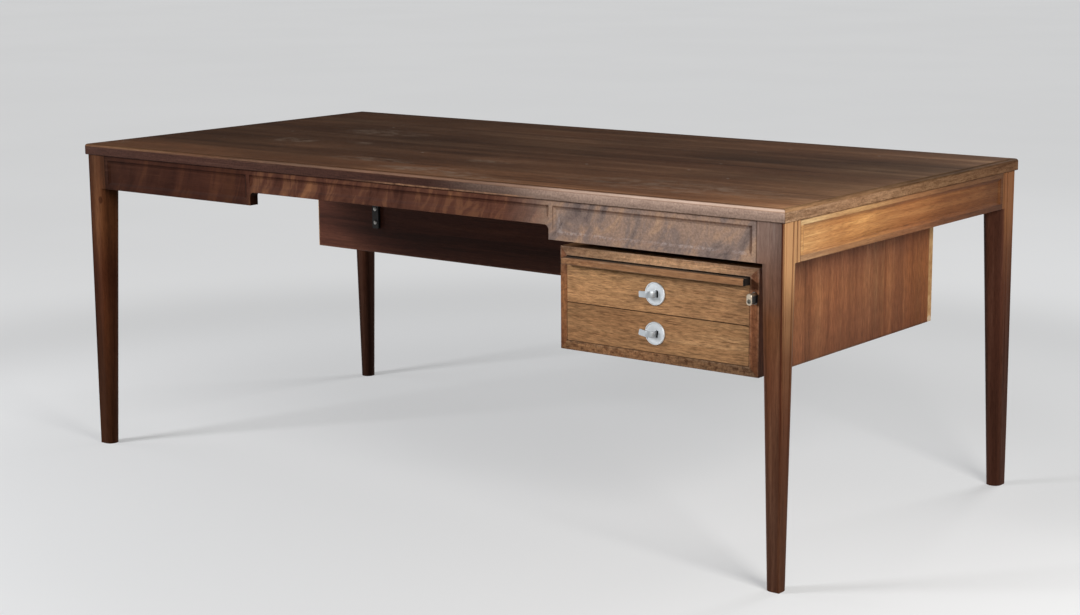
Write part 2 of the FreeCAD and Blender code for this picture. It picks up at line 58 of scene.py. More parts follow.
# The aprons' sunk fields: from, to, bottom, top
FRONT_FIELDS = ((-0.878, -0.423, 0.626, 0.682), (-0.412, 0.412, 0.655, 0.682), (0.423, 0.878, 0.626, 0.682))
BACK_FIELDS = ((-0.878, 0.878, 0.626, 0.682),)
SIDE_FIELDS = ((-0.403, 0.403, 0.626, 0.682),)
FIELD_SLOPE = 0.006
CASE_LEFT, CASE_RIGHT = 0.418, 0.876
CASE_LOW, CASE_HIGH = 0.394, 0.600
CASE_FRONT_Y, CASE_BACK_Y = -0.440, 0.220
FRONTS_LEFT, FRONTS_RIGHT = 0.434, 0.855
BOARD_END_X = 0.876
PULL_X = 0.6445
PULL_HEIGHTS = {"lower": 0.451, "upper": 0.528}
DISH_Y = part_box("pull_disc_upper")[0][1] + 0.0008
LIP_HALF = max(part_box("slide_lip")[1][0] - PULL_X, PULL_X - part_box("slide_lip")[0][0])
LOCK_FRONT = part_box("lock_cylinder")[0][1]


# Node trees

def colour(value):
    """A tone of three numbers, or one for a grey, gets its alpha; sockets pass through."""
    if isinstance(value, float):
        return (value, value, value, 1.0)
    if isinstance(value, (tuple, list)) and len(value) == 3:
        return (*value, 1.0)
    return value


class Tree:
    """A material's node tree with short calls for the nodes used here."""

    def __init__(self, name):
        self.material = bpy.data.materials.new(name)
        self.material.use_nodes = True
        self.tree = self.material.node_tree
        self.tree.nodes.clear()
        self.output = self.add("ShaderNodeOutputMaterial")
        self.place = self.add("ShaderNodeTexCoord").outputs["Object"]
        self.parts = self.x, self.y, self.z = self.split(self.place)
        self.rough = 0.5

    def add(self, kind, settings=None, **inputs):
        made = self.tree.nodes.new(kind)
        for key, value in (settings or {}).items():
            setattr(made, key, value)
        for key, value in inputs.items():
            self.put(made.inputs[key.replace("_", " ")], value)
        return made

    def put(self, socket, value):
        if isinstance(value, bpy.types.NodeSocket):
            self.tree.links.new(value, socket)
        else:
            socket.default_value = value

    def math(self, operation, first, second=0.0, clamp=False):
        made = self.add("ShaderNodeMath", {"operation": operation, "use_clamp": clamp})
        self.put(made.inputs[0], first)
        self.put(made.inputs[1], second)
        return made.outputs[0]

    def times(self, first, second, clamp=False):
        return self.math("MULTIPLY", first, second, clamp)

    def plus(self, first, second):
        return self.math("ADD", first, second)

    def minus(self, first, second):
        return self.math("SUBTRACT", first, second)

    def least(self, first, second):
        return self.math("MINIMUM", first, second)

    def most(self, first, second):
        return self.math("MAXIMUM", first, second)

    def size(self, value):
        return self.math("ABSOLUTE", value)

    def vector(self, operation, first, second):
        made = self.add("ShaderNodeVectorMath", {"operation": operation})
        self.put(made.inputs[0], first)
        self.put(made.inputs[1], second)
        return made.outputs[0]

    def spread(self, value, low, high, to_low=0.0, to_high=1.0, smooth=False):
        """Maps low..high to to_low..to_high and stops there."""
        kind = "SMOOTHSTEP" if smooth else "LINEAR"
        made = self.add("ShaderNodeMapRange", {"interpolation_type": kind, "clamp": True})
        for place, number in enumerate((value, low, high, to_low, to_high)):
            self.put(made.inputs[place], number)
        return made.outputs[0]

    def band(self, value, rise, fall):
        """One between two slopes, each given by its two ends, and nothing outside them."""
        return self.times(self.spread(value, *rise), self.spread(value, *fall, 1.0, 0.0))

    def mix(self, first, second, share, blend="MIX"):
        made = self.add("ShaderNodeMix", {"data_type": "RGBA", "blend_type": blend})
        self.put(made.inputs[0], share)
        self.put(made.inputs[6], colour(first))
        self.put(made.inputs[7], colour(second))
        return made.outputs[2]

    def tint(self, paint, tone):
        """A colour times another."""
        return self.mix(paint, tone, 1.0, "MULTIPLY")

    def shade(self, paint, value):
        """A colour times one number."""
        return self.tint(paint, self.join(value, value, value))

    def stain(self, paint, mask, tone):
        """A colour times another, where the mask is."""
        return self.mix(paint, self.tint(paint, tone), mask)

    def ramp(self, value, stops):
        made = self.add("ShaderNodeValToRGB")
        made.color_ramp.interpolation = "EASE"
        elements = made.color_ramp.elements
        while len(elements) < len(stops):
            elements.new(0.5)
        for element, (place, tone) in zip(elements, stops):
            element.position = place
            element.color = colour(tone)
        self.put(made.inputs[0], value)
        return made.outputs[0]

    def noise(self, stretch, detail=3.0, roughness=0.55, distortion=0.0, vector=None):
        """Noise with a frequency for each axis, or one for all."""
        if isinstance(stretch, float):
            stretch = (stretch,) * 3
        made = self.add("ShaderNodeTexNoise", Vector=self.vector("MULTIPLY", vector or self.place, stretch),
                        Scale=1.0, Detail=detail, Roughness=roughness, Distortion=distortion)
        return made.outputs[0]

    def split(self, vector):
        made = self.add("ShaderNodeSeparateXYZ")
        self.put(made.inputs[0], vector)
        return list(made.outputs)

    def join(self, x, y, z):
        return self.add("ShaderNodeCombineXYZ", X=x, Y=y, Z=z).outputs[0]

    def spot(self, axes, centre, reach):
        """One in the middle of an ellipse or ball, nothing outside it."""
        total = 0.0
        for axis, middle, half in zip(axes, centre, reach):
            off = self.math("DIVIDE", self.minus(self.parts[axis], middle), half)
            total = self.plus(total, self.times(off, off))
        return self.spread(total, 0.0, 1.0, 1.0, 0.0, smooth=True)

    def bump(self, height, strength, distance):
        return self.add("ShaderNodeBump", Strength=strength, Distance=distance, Height=height).outputs[0]

    def finish(self, paint, normal, **fixed):
        shader = self.add("ShaderNodeBsdfPrincipled", Base_Color=paint, Roughness=self.rough, Normal=normal,
                          **fixed)
        self.put(self.output.inputs[0], shader.outputs[0])
        return self.material


# Wood

GRAIN_ORDER = {"x": (0, 1, 2), "y": (1, 0, 2), "z": (2, 0, 1)}
PORE_DIRT = (0.42, 0.36, 0.34)
RED_LEAN = (1.12, 0.86, 0.78)


def edge_distance(tree, low, high):
    """Distance along the surface of a board from its nearest arris."""
    gaps = [tree.least(tree.minus(part, a), tree.minus(b, part))
            for part, a, b in zip(tree.parts, low, high)]
    nearer = tree.least(gaps[0], gaps[1])
    further = tree.most(gaps[0], gaps[1])
    return tree.most(nearer, tree.least(further, gaps[2]))


def worn_arris(tree, node, width, strength):
    """A ragged mask along a board's arrises, strong in some stretches and faint in others."""
    low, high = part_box(node)
    edge = edge_distance(tree, low, high)
    ragged = tree.noise(55.0, detail=4.0, roughness=0.65)
    jitter = tree.times(tree.minus(ragged, 0.5), width * 3.0)
    mask = tree.spread(tree.plus(edge, jitter), 0.0, width, 1.0, 0.0, smooth=True)
    stretch = tree.noise(7.0, detail=3.0)
    mask = tree.times(mask, tree.spread(stretch, 0.38, 0.62, 0.15, 1.0))
    return tree.times(mask, strength)


def wood(node, grain, tones, seed, figure=0.0, ripple=12.0, streak=1.0, fleck=0.14, pores=0.5,
         roughness=0.50, gloss=0.10, wear=0.4, wear_tone=(0.34, 0.22, 0.14), wear_width=0.004, looks=()):
    """Oiled wood with streaks, fibres, flecks, open pores and worn arrises."""
    dark, middle, light = tones
    tree = Tree("wood_" + node)
    along = tree.join(*[tree.parts[number] for number in GRAIN_ORDER[grain]])
    along = tree.vector("ADD", along, (seed * 0.73, seed * 1.37, seed * 0.59))
    drift = tree.noise((0.9, 5.0, 5.0), detail=2.0, vector=along)
    shift = tree.times(tree.minus(drift, 0.5), 0.03)
    along = tree.vector("ADD", along, tree.join(0.0, shift, shift))

    broad = tree.noise((0.7, 17.0, 17.0), detail=3.0, roughness=0.6, distortion=0.35, vector=along)
    narrow = tree.noise((2.4, 85.0, 85.0), detail=4.0, roughness=0.6, vector=along)
    fibre = tree.noise((11.0, 560.0, 560.0), detail=3.0, roughness=0.6, vector=along)
    short = tree.noise((46.0, 290.0, 290.0), detail=3.0, roughness=0.7, vector=along)
    pore = tree.spread(tree.noise((38.0, 1350.0, 1350.0), detail=1.0, vector=along), 0.56, 0.68)
    patch = tree.noise((2.2, 6.0, 6.0), detail=2.0, vector=along)

    tone = tree.times(broad, 0.48)
    tone = tree.plus(tone, tree.times(narrow, 0.34))
    tone = tree.plus(tone, tree.times(fibre, 0.18))
    reach = 0.15 / streak
    tone = tree.spread(tone, 0.5 - reach, 0.5 + reach)
    paint = tree.ramp(tone, [(0.05, dark), (0.5, middle), (0.95, light)])
    if figure:
        wave = tree.noise((ripple, 2.6, 2.6), detail=2.0, roughness=0.5, distortion=0.6, vector=along)
        swing = tree.spread(wave, 0.32, 0.68, 1.0 - figure, 1.0 + figure)
        warm = tree.spread(wave, 0.32, 0.68, 1.0 - figure * 1.2, 1.0 + figure * 1.2)
        paint = tree.tint(paint, tree.join(swing, warm, warm))
    paint = tree.shade(paint, tree.spread(short, 0.30, 0.70, 1.0 - fleck, 1.0 + fleck))
    paint = tree.stain(paint, tree.spread(patch, 0.35, 0.7, 0.0, 0.35), RED_LEAN)
    paint = tree.stain(paint, tree.times(pore, pores), PORE_DIRT)
    tree.rough = tree.plus(roughness - 0.06, tree.times(narrow, 0.12))
    if wear:
        mask = worn_arris(tree, node, wear_width, wear)
        paint = tree.mix(paint, wear_tone, mask)
        tree.rough = tree.plus(tree.rough, tree.times(mask, 0.12))
    for look in looks:
        paint = look(tree, paint)
    height = tree.minus(tree.times(fibre, 0.35), tree.times(pore, 0.65))
    return tree.finish(paint, tree.bump(height, 0.30, 0.0003), Specular_IOR_Level=gloss)


# Looks that follow a piece's form; each takes a colour and gives it back changed

def fade(axis, low, high, stops):
    """A tint that changes along one axis; each use here is painted light."""
    def look(tree, paint):
        return tree.tint(paint, tree.ramp(tree.spread(tree.parts[axis], low, high), stops))
    return look


def haze(axis, low, high, tone, stops):
    """A pale haze that comes up along one axis, in clouds; partly bleached polish, partly painted sheen."""
    def look(tree, paint):
        share = tree.ramp(tree.spread(tree.parts[axis], low, high), stops)
        cloud = tree.noise(28.0, detail=4.0, roughness=0.65)
        share = tree.times(share, tree.spread(cloud, 0.3, 0.7, 0.78, 1.16), clamp=True)
        return tree.mix(paint, tone, share)
    return look


CLOUD_LEAN, CLOUD_FADE = 0.35, 0.04


def clouded(low, high, stretch, stops, strength):
    """Slanting clouds of the veneer between two places along X."""
    def look(tree, paint):
        lean = tree.minus(tree.x, tree.times(tree.z, CLOUD_LEAN))
        slanted = tree.join(lean, 0.0, tree.z)
        wave = tree.noise((stretch[0], 1.0, stretch[1]), detail=5.0, roughness=0.62, distortion=1.1,
                          vector=slanted)
        ends = tree.band(tree.x, (low, low + CLOUD_FADE), (high - CLOUD_FADE, high))
        return tree.mix(paint, tree.ramp(wave, stops), tree.times(ends, strength))
    return look


def speckled(low, high, strength):
    """Fine specks of worn polish that get stronger from one place to another along X."""
    def look(tree, paint):
        fine = tree.noise(230.0, detail=3.0, roughness=0.7)
        swing = tree.spread(tree.x, low, high, 0.0, strength * 7.0)
        fine = tree.plus(tree.times(tree.minus(fine, 0.5), swing), 1.0)
        return tree.shade(paint, fine)
    return look


# Pale specks on the slopes of the right field that face the light: partly bare worn wood, partly painted
# highlight
WORN_AND_LIT_SPECK = (0.46, 0.40, 0.38)
PALE_END, PALE_END_REACH = (0.437, 0.655), (0.012, 0.040)
PALE_HEIGHT = 0.6305


def worn_and_lit_field(tree, paint):
    """Pale specks at the left end and along the lower edge of the right field, on slopes that face the
    light: partly bare wood, partly painted highlight.
    """
    ragged = tree.noise(170.0, detail=4.0, roughness=0.7)
    left = tree.spot((0, 2), PALE_END, PALE_END_REACH)
    along = tree.band(tree.x, (0.42, 0.44), (0.86, 0.88))
    off = tree.size(tree.minus(tree.z, PALE_HEIGHT))
    low = tree.minus(1.0, tree.spread(off, 0.001, 0.0045))
    area = tree.most(left, tree.times(along, low))
    patchy = tree.spread(tree.noise(16.0, detail=3.0), 0.42, 0.58, 0.15, 0.85)
    mask = tree.times(area, tree.times(tree.spread(ragged, 0.44, 0.62, 0.0, 0.6), patchy))
    return tree.mix(paint, WORN_AND_LIT_SPECK, mask)


# Mostly painted light over the table top: paler towards its right end and its front edge, darker along its
# middle
TOP_LENGTH = [(0.0, (0.64, 0.62, 0.60)), (0.3, 0.68), (0.5, 0.82),
              (0.85, (0.93, 0.92, 0.90)), (0.94, (1.16, 1.22, 1.18)), (1.0, (1.50, 1.64, 1.60))]
TOP_DEPTH = [(0.0, (1.56, 1.54, 1.49)), (0.08, (1.48, 1.46, 1.42)), (0.22, (0.98, 0.99, 1.0)),
             (0.55, (0.76, 0.78, 0.80)), (0.74, (0.80, 0.82, 0.84)), (0.90, (1.05, 1.06, 1.07)),
             (1.0, (0.94, 0.97, 1.0))]


def top_tint(tree, paint):
    """The table top, with mostly painted light: paler along its front and its right end, dark along its
    middle.
    """
    across = tree.ramp(tree.spread(tree.x, -HALF_LENGTH, HALF_LENGTH), TOP_LENGTH)
    depth = tree.ramp(tree.spread(tree.y, -HALF_DEPTH, HALF_DEPTH), TOP_DEPTH)
    paint = tree.tint(tree.tint(paint, across), depth)
    blotch = tree.noise((3.2, 8.0, 1.0), detail=3.0, distortion=0.5)
    return tree.shade(paint, tree.spread(blotch, 0.32, 0.68, 0.80, 1.24))


# Place x, y, reach x, y, strength
TOP_RUBBED = (
    (0.04, -0.40, 0.18, 0.040, 0.60), (0.06, -0.365, 0.06, 0.022, 0.60), (0.055, -0.215, 0.08, 0.025, 0.60),
    (-0.17, -0.33, 0.15, 0.045, 0.45), (-0.52, 0.10, 0.15, 0.07, 0.50), (-0.60, -0.14, 0.08, 0.05, 0.60),
    (-0.42, -0.10, 0.04, 0.025, 0.60), (-0.93, -0.40, 0.05, 0.05, 0.80), (0.62, -0.33, 0.35, 0.10, 0.40),
    (0.20, -0.44, 0.14, 0.03, 0.50))
TOP_DARK = (
    (0.55, 0.13, 0.30, 0.06, 0.60), (0.15, 0.12, 0.12, 0.05, 0.40), (-0.10, -0.13, 0.16, 0.04, 0.35),
    (0.70, 0.21, 0.18, 0.04, 0.50))
TOP_STAIN, TOP_SCUFF, TOP_DROP = (0.35, 0.33, 0.32), (0.31, 0.235, 0.175), (0.52, 0.46, 0.39)


def worn_top(tree, paint):
    """Scuffs, pale rubbed places, dark stains and a few pale drops on the table top."""
    fine = tree.noise((26.0, 52.0, 1.0), detail=6.0, roughness=0.72)
    loose = tree.noise((9.0, 30.0, 9.0), detail=3.0)
    for x, y, reach_x, reach_y, strength in TOP_DARK:
        near = tree.spot((0, 1), (x, y), (reach_x, reach_y))
        mark = tree.times(near, tree.spread(loose, 0.3, 0.6, 0.4, 1.0))
        paint = tree.stain(paint, tree.times(mark, strength), TOP_STAIN)
    for x, y, reach_x, reach_y, strength in TOP_RUBBED:
        near = tree.spot((0, 1), (x, y), (reach_x, reach_y))
        mark = tree.times(near, tree.spread(fine, 0.45, 0.63, 0.0, strength))
        paint = tree.mix(paint, TOP_SCUFF, mark)
        tree.rough = tree.plus(tree.rough, tree.times(mark, 0.15))
    cells = tree.add("ShaderNodeTexVoronoi", {"feature": "F1", "distance": "EUCLIDEAN"}, Scale=1.0,
                     Vector=tree.vector("MULTIPLY", tree.place, (16.0, 26.0, 1.0)))
    drop = tree.spread(cells.outputs["Distance"], 0.04, 0.08, 0.6, 0.0)
    chosen = tree.spread(tree.noise((5.0, 7.0, 1.0), detail=2.0), 0.56, 0.60)
    return tree.mix(paint, TOP_DROP, tree.times(drop, chosen))


# Tones on the lippings: haze, partly bleached polish and partly painted sheen; arris, a painted highlight
# on the rounding with some wear; under, painted shade along the lower edge; stain and mitre, the wood's own
# marks
LIP_HAZE, LIP_ARRIS = (0.40, 0.285, 0.225), (0.70, 0.53, 0.43)
LIP_STAIN, LIP_UNDER_SHADE, LIP_MITRE = (0.45, 0.38, 0.34), (0.45, 0.36, 0.32), (0.40, 0.32, 0.28)


def lipping_look(axis, side, tones, pale, arris_pale, mottle):
    """A lipping whose upper side is like the table top; its outer face has its own tone, a haze of bleached
    polish and painted sheen, a painted highlight on the rounding and painted shade at its lower edge.
    """
    run = 1 - axis
    reach, length = HALVES[axis], HALVES[run]
    stretch = [90.0, 90.0, 160.0]
    stretch[run] = 30.0

    def look(tree, paint):
        upper = top_tint(tree, tree.tint(paint, tones))
        step = tree.spread(tree.parts[run], -length, length)
        cloud = tree.noise(tuple(stretch), detail=5.0, roughness=0.72)
        share = tree.ramp(step, pale)
        share = tree.times(share, tree.spread(cloud, 0.3, 0.7, 1.08, 0.86), clamp=True)
        # Painted highlight: the haze grows brighter up towards the rounding
        bright = tree.spread(tree.z, UNDER_TOP + 0.005, ROUNDING_LOW, 0.86, 1.45)
        outer = tree.mix(paint, tree.shade(LIP_HAZE, bright), share)
        outer = tree.stain(outer, tree.spread(cloud, 0.46, 0.66, 0.0, mottle), LIP_STAIN)
        grit = tree.noise(240.0, detail=3.0, roughness=0.7)
        outer = tree.shade(outer, tree.spread(grit, 0.3, 0.7, 0.72, 1.28))
        outward = tree.times(tree.parts[axis], side)
        face = tree.spread(tree.z, TOP_HEIGHT - 0.0040, ROUNDING_LOW - 0.0015, smooth=True)
        face = tree.times(face, tree.spread(outward, reach - ROUNDING, reach - 0.002))
        paint = tree.mix(upper, outer, face)
        # Painted highlight along the rounding, partly worn polish
        bend = tree.times(tree.spread(tree.z, TOP_HEIGHT - 0.0002, TOP_HEIGHT - 0.0012),
                          tree.spread(tree.z, ROUNDING_LOW, ROUNDING_LOW + 0.002))
        rubbed = tree.ramp(step, arris_pale)
        rubbed = tree.times(rubbed, tree.spread(cloud, 0.35, 0.65, 1.0, 0.8))
        paint = tree.mix(paint, LIP_ARRIS, tree.times(bend, rubbed))
        # Painted shade along the lower edge
        lower = tree.spread(tree.z, UNDER_TOP, UNDER_TOP + 0.0022, 0.75, 0.0)
        paint = tree.stain(paint, lower, LIP_UNDER_SHADE)
        mitre = tree.size(tree.minus(tree.minus(HALF_LENGTH, tree.size(tree.x)),
                                     tree.minus(HALF_DEPTH, tree.size(tree.y))))
        return tree.stain(paint, tree.spread(mitre, 0.0004, 0.0014, 0.7, 0.0), LIP_MITRE)
    return look


WORN_LINE = (0.34, 0.18, 0.10)


def worn_line(tree, paint):
    """A golden line rubbed along the front lipping's lower arris over the knees."""
    ragged = tree.noise(40.0, detail=4.0, roughness=0.7)
    along = tree.band(tree.x, (-0.12, 0.02), (0.33, 0.40))
    low = tree.spread(tree.z, UNDER_TOP + 0.0025, UNDER_TOP + 0.0045, 1.0, 0.0)
    mask = tree.times(tree.times(along, low), tree.spread(ragged, 0.36, 0.62, 0.10, 0.90))
    return tree.mix(paint, WORN_LINE, mask)


# Grooves of a leg: place under the top, place where it runs out, height there, half width
LEG_GROOVES = ((0.0095, 0.007, 0.190, 0.0012), (0.035, 0.0205, 0.150, 0.0032),
               (0.048, 0.048, 0.600, 0.0034))
# Tones of old polish and painted shade in the grooves, of painted shade in the rebate and of the spot of
# painted shade
GROOVE_TONE, REBATE_SHADE_TONE, STOP_SHADE_TONE = (0.50, 0.40, 0.36), (0.42, 0.24, 0.20), (0.34, 0.26, 0.22)
# The gold of a leg's outer side, and its share by height; mostly painted light, as the outer side is lit
# more than the front
GOLD_GAIN, GOLD_TONE, GOLD_SHARE = (3.4, 4.4, 4.2), (0.52, 0.285, 0.130), 0.55
GOLD_HEIGHT = [(0.30, 0.02), (0.43, 0.10), (0.50, 0.30), (0.62, 1.0)]
FOOT_SHADE = 0.76
# Tones of painted shade over the front of a leg, from its outer arris inwards
ARRIS_SHADE = [(0.006, (0.72, 0.71, 0.72)), (0.018, (0.88, 0.88, 0.90)), (0.034, 1.12)]
# Painted shade: a dark spot at the head of the left leg, where its inner rounding starts
LEG_STOP_SHADE, STOP_SHADE_REACH = (-0.909, -LEG_FACE_Y, 0.588), (0.007, 0.009, 0.011)
LEG_BACK_GAIN = (1.7, 1.8, 1.7)


def leg_patina_and_light(gain, gold_gain, block_tint):
    """A leg tinted by its gain, darker to the foot, with its outer side golden and old polish and painted
    shade in its grooves; the gain and the gold are painted light and shade.
    """
    def look(tree, paint):
        foot = tree.ramp(tree.z, [(0.10, [part * FOOT_SHADE for part in gain]), (0.45, gain)])
        return leg_sides(tree, tree.tint(paint, foot), gold_gain, block_tint)
    return look


def leg_sides(tree, paint, gold_gain, block_tint):
    """Gold, mostly painted light, on a leg's outer side; old polish and painted shade in its grooves,
    painted shade in its rebate, the block's tint and a spot of painted shade on its front.
    """
    off_face = tree.minus(LEG_FACE_X, tree.size(tree.x))
    along = tree.minus(LEG_FACE_Y, tree.size(tree.y))
    outer = tree.spread(off_face, 0.0003, 0.0032, 1.0, 0.0, smooth=True)
    gold = tree.mix(tree.tint(paint, GOLD_GAIN), GOLD_TONE, GOLD_SHARE)
    gold = tree.tint(gold, gold_gain)
    height = tree.ramp(tree.z, GOLD_HEIGHT)
    paint = tree.mix(paint, gold, tree.times(outer, height))
    side = tree.spread(off_face, 0.004, 0.006, 1.0, 0.0)
    # Old polish and painted shade in the grooves
    for start, end, low, half in LEG_GROOVES:
        slope = (start - end) / (UNDER_TOP - low)
        centre = tree.plus(tree.times(tree.minus(tree.z, low), slope), end)
        off = tree.size(tree.minus(along, centre))
        mask = tree.spread(off, half * 0.3, half * 1.2, 0.75, 0.0, smooth=True)
        mask = tree.times(mask, tree.spread(tree.z, low, low + 0.10))
        paint = tree.stain(paint, tree.times(mask, side), GROOVE_TONE)
    # Painted shade in the rebate along the outer arris
    arris = tree.times(tree.spread(along, 0.0008, 0.0018, 0.8, 0.0), tree.spread(tree.z, 0.13, 0.33))
    paint = tree.stain(paint, tree.times(arris, side), REBATE_SHADE_TONE)
    # A spot of painted shade at the head of the left leg
    stop_shade = tree.spot((0, 1, 2), LEG_STOP_SHADE, STOP_SHADE_REACH)
    paint = tree.stain(paint, tree.spread(stop_shade, 0.1, 0.5, 0.0, 0.75), STOP_SHADE_TONE)
    # The front's tint by height, partly painted light, with painted shade at the arris
    tone = tree.tint(tree.ramp(tree.z, block_tint), tree.ramp(off_face, ARRIS_SHADE))
    return tree.stain(paint, tree.spread(off_face, 0.0035, 0.006), tone)


def leg_back(tree, paint):
    """The back of a leg, painted lighter than its front and sides, whose darker tints are painted shade."""
    behind = tree.spread(tree.y, LEG_FACE_Y - 0.004, LEG_FACE_Y - 0.001)
    return tree.stain(paint, behind, LEG_BACK_GAIN)


SEAM_TONE = (0.30, 0.24, 0.22)


def seams(axis, end):
    """Dark joints where an apron meets its legs."""
    def look(tree, paint):
        mask = tree.spread(tree.size(tree.parts[axis]), end - 0.0028, end - 0.0008, 0.0, 0.85)
        return tree.stain(paint, mask, SEAM_TONE)
    return look


# Painted shade: on the fields' upper slopes, along their edges and in the crevice under the table top
SLOPE_TONE, LINE_TONE, CREVICE_TONE = (0.42, 0.32, 0.29), (0.36, 0.27, 0.24), (0.35, 0.26, 0.23)


def field_lines(fields, axis, lower_tone, end_tone, line, slope_shade):
    """Painted shade along the edges and slopes of the sunk fields and in the crevice under the table top.
    """
    def look(tree, paint):
        nearest = None
        ragged = tree.noise(90.0, detail=3.0)
        for low, high, bottom, top in fields:
            foot, end = bottom + FIELD_SLOPE, high - FIELD_SLOPE
            across = tree.minus(tree.size(tree.minus(tree.parts[axis], (low + high) / 2)), (high - low) / 2)
            upright = tree.minus(tree.size(tree.minus(tree.z, (bottom + top) / 2)), (top - bottom) / 2)
            depth = tree.most(across, upright)
            inner = tree.size(tree.plus(depth, FIELD_SLOPE))
            gap = tree.least(tree.size(depth), tree.plus(inner, 0.0007))
            gap = tree.plus(gap, tree.spread(tree.z, foot + 0.001, foot + 0.004, 0.004, 0.0))
            nearest = gap if nearest is None else tree.least(nearest, gap)
            slope = tree.band(depth, (-FIELD_SLOPE - 0.0006, -FIELD_SLOPE + 0.0004), (-0.0004, 0.0006))
            upper = tree.times(slope, tree.spread(tree.z, top - 0.0042, top - 0.0030))
            paint = tree.stain(paint, tree.times(upper, slope_shade), SLOPE_TONE)
            lower = tree.times(slope, tree.spread(tree.z, foot - 0.001, foot, 1.0, 0.0))
            paint = tree.stain(paint, lower, lower_tone)
            wall = tree.times(slope, tree.spread(tree.parts[axis], end - 0.001, end))
            wall = tree.times(wall, tree.spread(tree.z, foot - 0.001, foot))
            paint = tree.stain(paint, wall, end_tone)
        strength = tree.spread(ragged, 0.3, 0.7, line * 0.5, line)
        mask = tree.times(tree.spread(nearest, 0.0003, 0.0016, 1.0, 0.0, smooth=True), strength)
        paint = tree.stain(paint, mask, LINE_TONE)
        # Painted shade in the crevice under the table top
        crevice = tree.spread(tree.z, UNDER_TOP - 0.0035, UNDER_TOP - 0.0005, 0.0, 0.8)
        return tree.stain(paint, crevice, CREVICE_TONE)
    return look


# Painted shade in the coves of the knee cut-out
COVE_SHADE_TONE = (0.16, 0.13, 0.12)


def knee_ends(tree, paint):
    """Painted shade on the end faces in the coves at both ends of the knee cut-out."""
    mask = tree.band(tree.size(tree.x), (KNEE_HALF - 0.012, KNEE_HALF - 0.011),
                     (KNEE_HALF + 0.0006, KNEE_HALF + 0.0012))
    mask = tree.times(mask, tree.spread(tree.z, KNEE_BOTTOM + 0.0004, KNEE_BOTTOM + 0.0008, 1.0, 0.0))
    mask = tree.times(mask, tree.spread(tree.y, -LEG_FACE_Y + 0.0007, -LEG_FACE_Y + 0.0012))
    return tree.stain(paint, mask, COVE_SHADE_TONE)


EDGE_STAIN = (0.36, 0.27, 0.22)


def case_edge(axis, low, high, stops, mottle):
    """Front edge of a pedestal board, with its own tint along it and dark stains."""
    def look(tree, paint):
        front = tree.spread(tree.y, CASE_FRONT_Y + 0.0012, CASE_FRONT_Y + 0.0002)
        cloud = tree.noise((75.0, 75.0, 110.0), detail=4.0, roughness=0.7)
        lit = tree.tint(paint, tree.ramp(tree.spread(tree.parts[axis], low, high), stops))
        lit = tree.stain(lit, tree.spread(cloud, 0.46, 0.62, 0.0, mottle), EDGE_STAIN)
        grit = tree.noise(260.0, detail=3.0, roughness=0.7)
        lit = tree.shade(lit, tree.spread(grit, 0.3, 0.7, 1.0 - 0.4 * mottle, 1.0 + 0.4 * mottle))
        return tree.mix(paint, lit, front)
    return look


SIDE_HEIGHT = [(0.0, (0.42, 0.40, 0.38)), (0.03, (0.72, 0.68, 0.68)), (0.25, (0.91, 0.90, 0.91)),
               (0.60, (1.10, 1.12, 1.09)), (1.0, (0.84, 0.85, 0.97))]
SIDE_DEPTH = [(0.0, 1.0), (0.03, (1.14, 1.16, 1.16)), (0.30, (1.10, 1.15, 1.16)),
              (0.45, (0.93, 0.98, 1.02)), (0.66, (0.94, 0.96, 0.99)), (0.73, (1.16, 1.10, 1.04)),
              (0.80, (0.96, 0.95, 0.95)), (0.90, (1.20, 1.18, 1.05)), (1.0, (1.24, 1.20, 1.02))]


def case_side(tree, paint):
    """Soft bands of the veneer on the pedestal's side, shaded at its foot and under the apron."""
    bands = tree.noise((1.0, 16.0, 1.1), detail=2.0, distortion=0.3)
    paint = tree.shade(paint, tree.spread(bands, 0.34, 0.66, 0.76, 1.26))
    paint = tree.tint(paint, tree.ramp(tree.spread(tree.z, CASE_LOW, CASE_HIGH), SIDE_HEIGHT))
    depth = tree.ramp(tree.spread(tree.y, CASE_FRONT_Y, CASE_BACK_Y), SIDE_DEPTH)
    return tree.tint(paint, depth)


BOARD_END_TONES, CHIP_TONE = ((0.40, 0.21, 0.085), (0.56, 0.35, 0.17)), (0.62, 0.47, 0.33)
CHIP, CHIP_REACH = (BOARD_END_X, 0.230, CASE_LOW), (0.010, 0.016, 0.016)


def board_end(tree, paint):
    """Pale end of the back board, with a chip at its lower corner."""
    end = tree.spread(tree.size(tree.x), BOARD_END_X - 0.002, BOARD_END_X - 0.0008)
    ragged = tree.noise(70.0, detail=4.0)
    pale = tree.mix(*BOARD_END_TONES, tree.spread(ragged, 0.35, 0.65))
    near = tree.spot((0, 1, 2), CHIP, CHIP_REACH)
    chip = tree.spread(tree.plus(near, tree.times(tree.minus(ragged, 0.5), 0.6)), 0.35, 0.5)
    return tree.mix(tree.mix(paint, pale, end), CHIP_TONE, chip)


# Painted shadow behind the pulls' slots
SLOT_SHADOW_BLACK, SLOT_REACH = 0.004, (0.016, 0.016)


def slot_shadow(height):
    """Painted shadow: black on the drawer front behind a pull's slot."""
    def look(tree, paint):
        mask = tree.spread(tree.spot((0, 2), (PULL_X, height), SLOT_REACH), 0.05, 0.15)
        return tree.mix(paint, SLOT_SHADOW_BLACK, mask)
    return look


# Stain of the lip's left part; black of its ends, partly lacquer and partly painted shadow
LIP_MARK, LIP_END_BLACK = (0.40, 0.30, 0.25), (0.012, 0.011, 0.010)


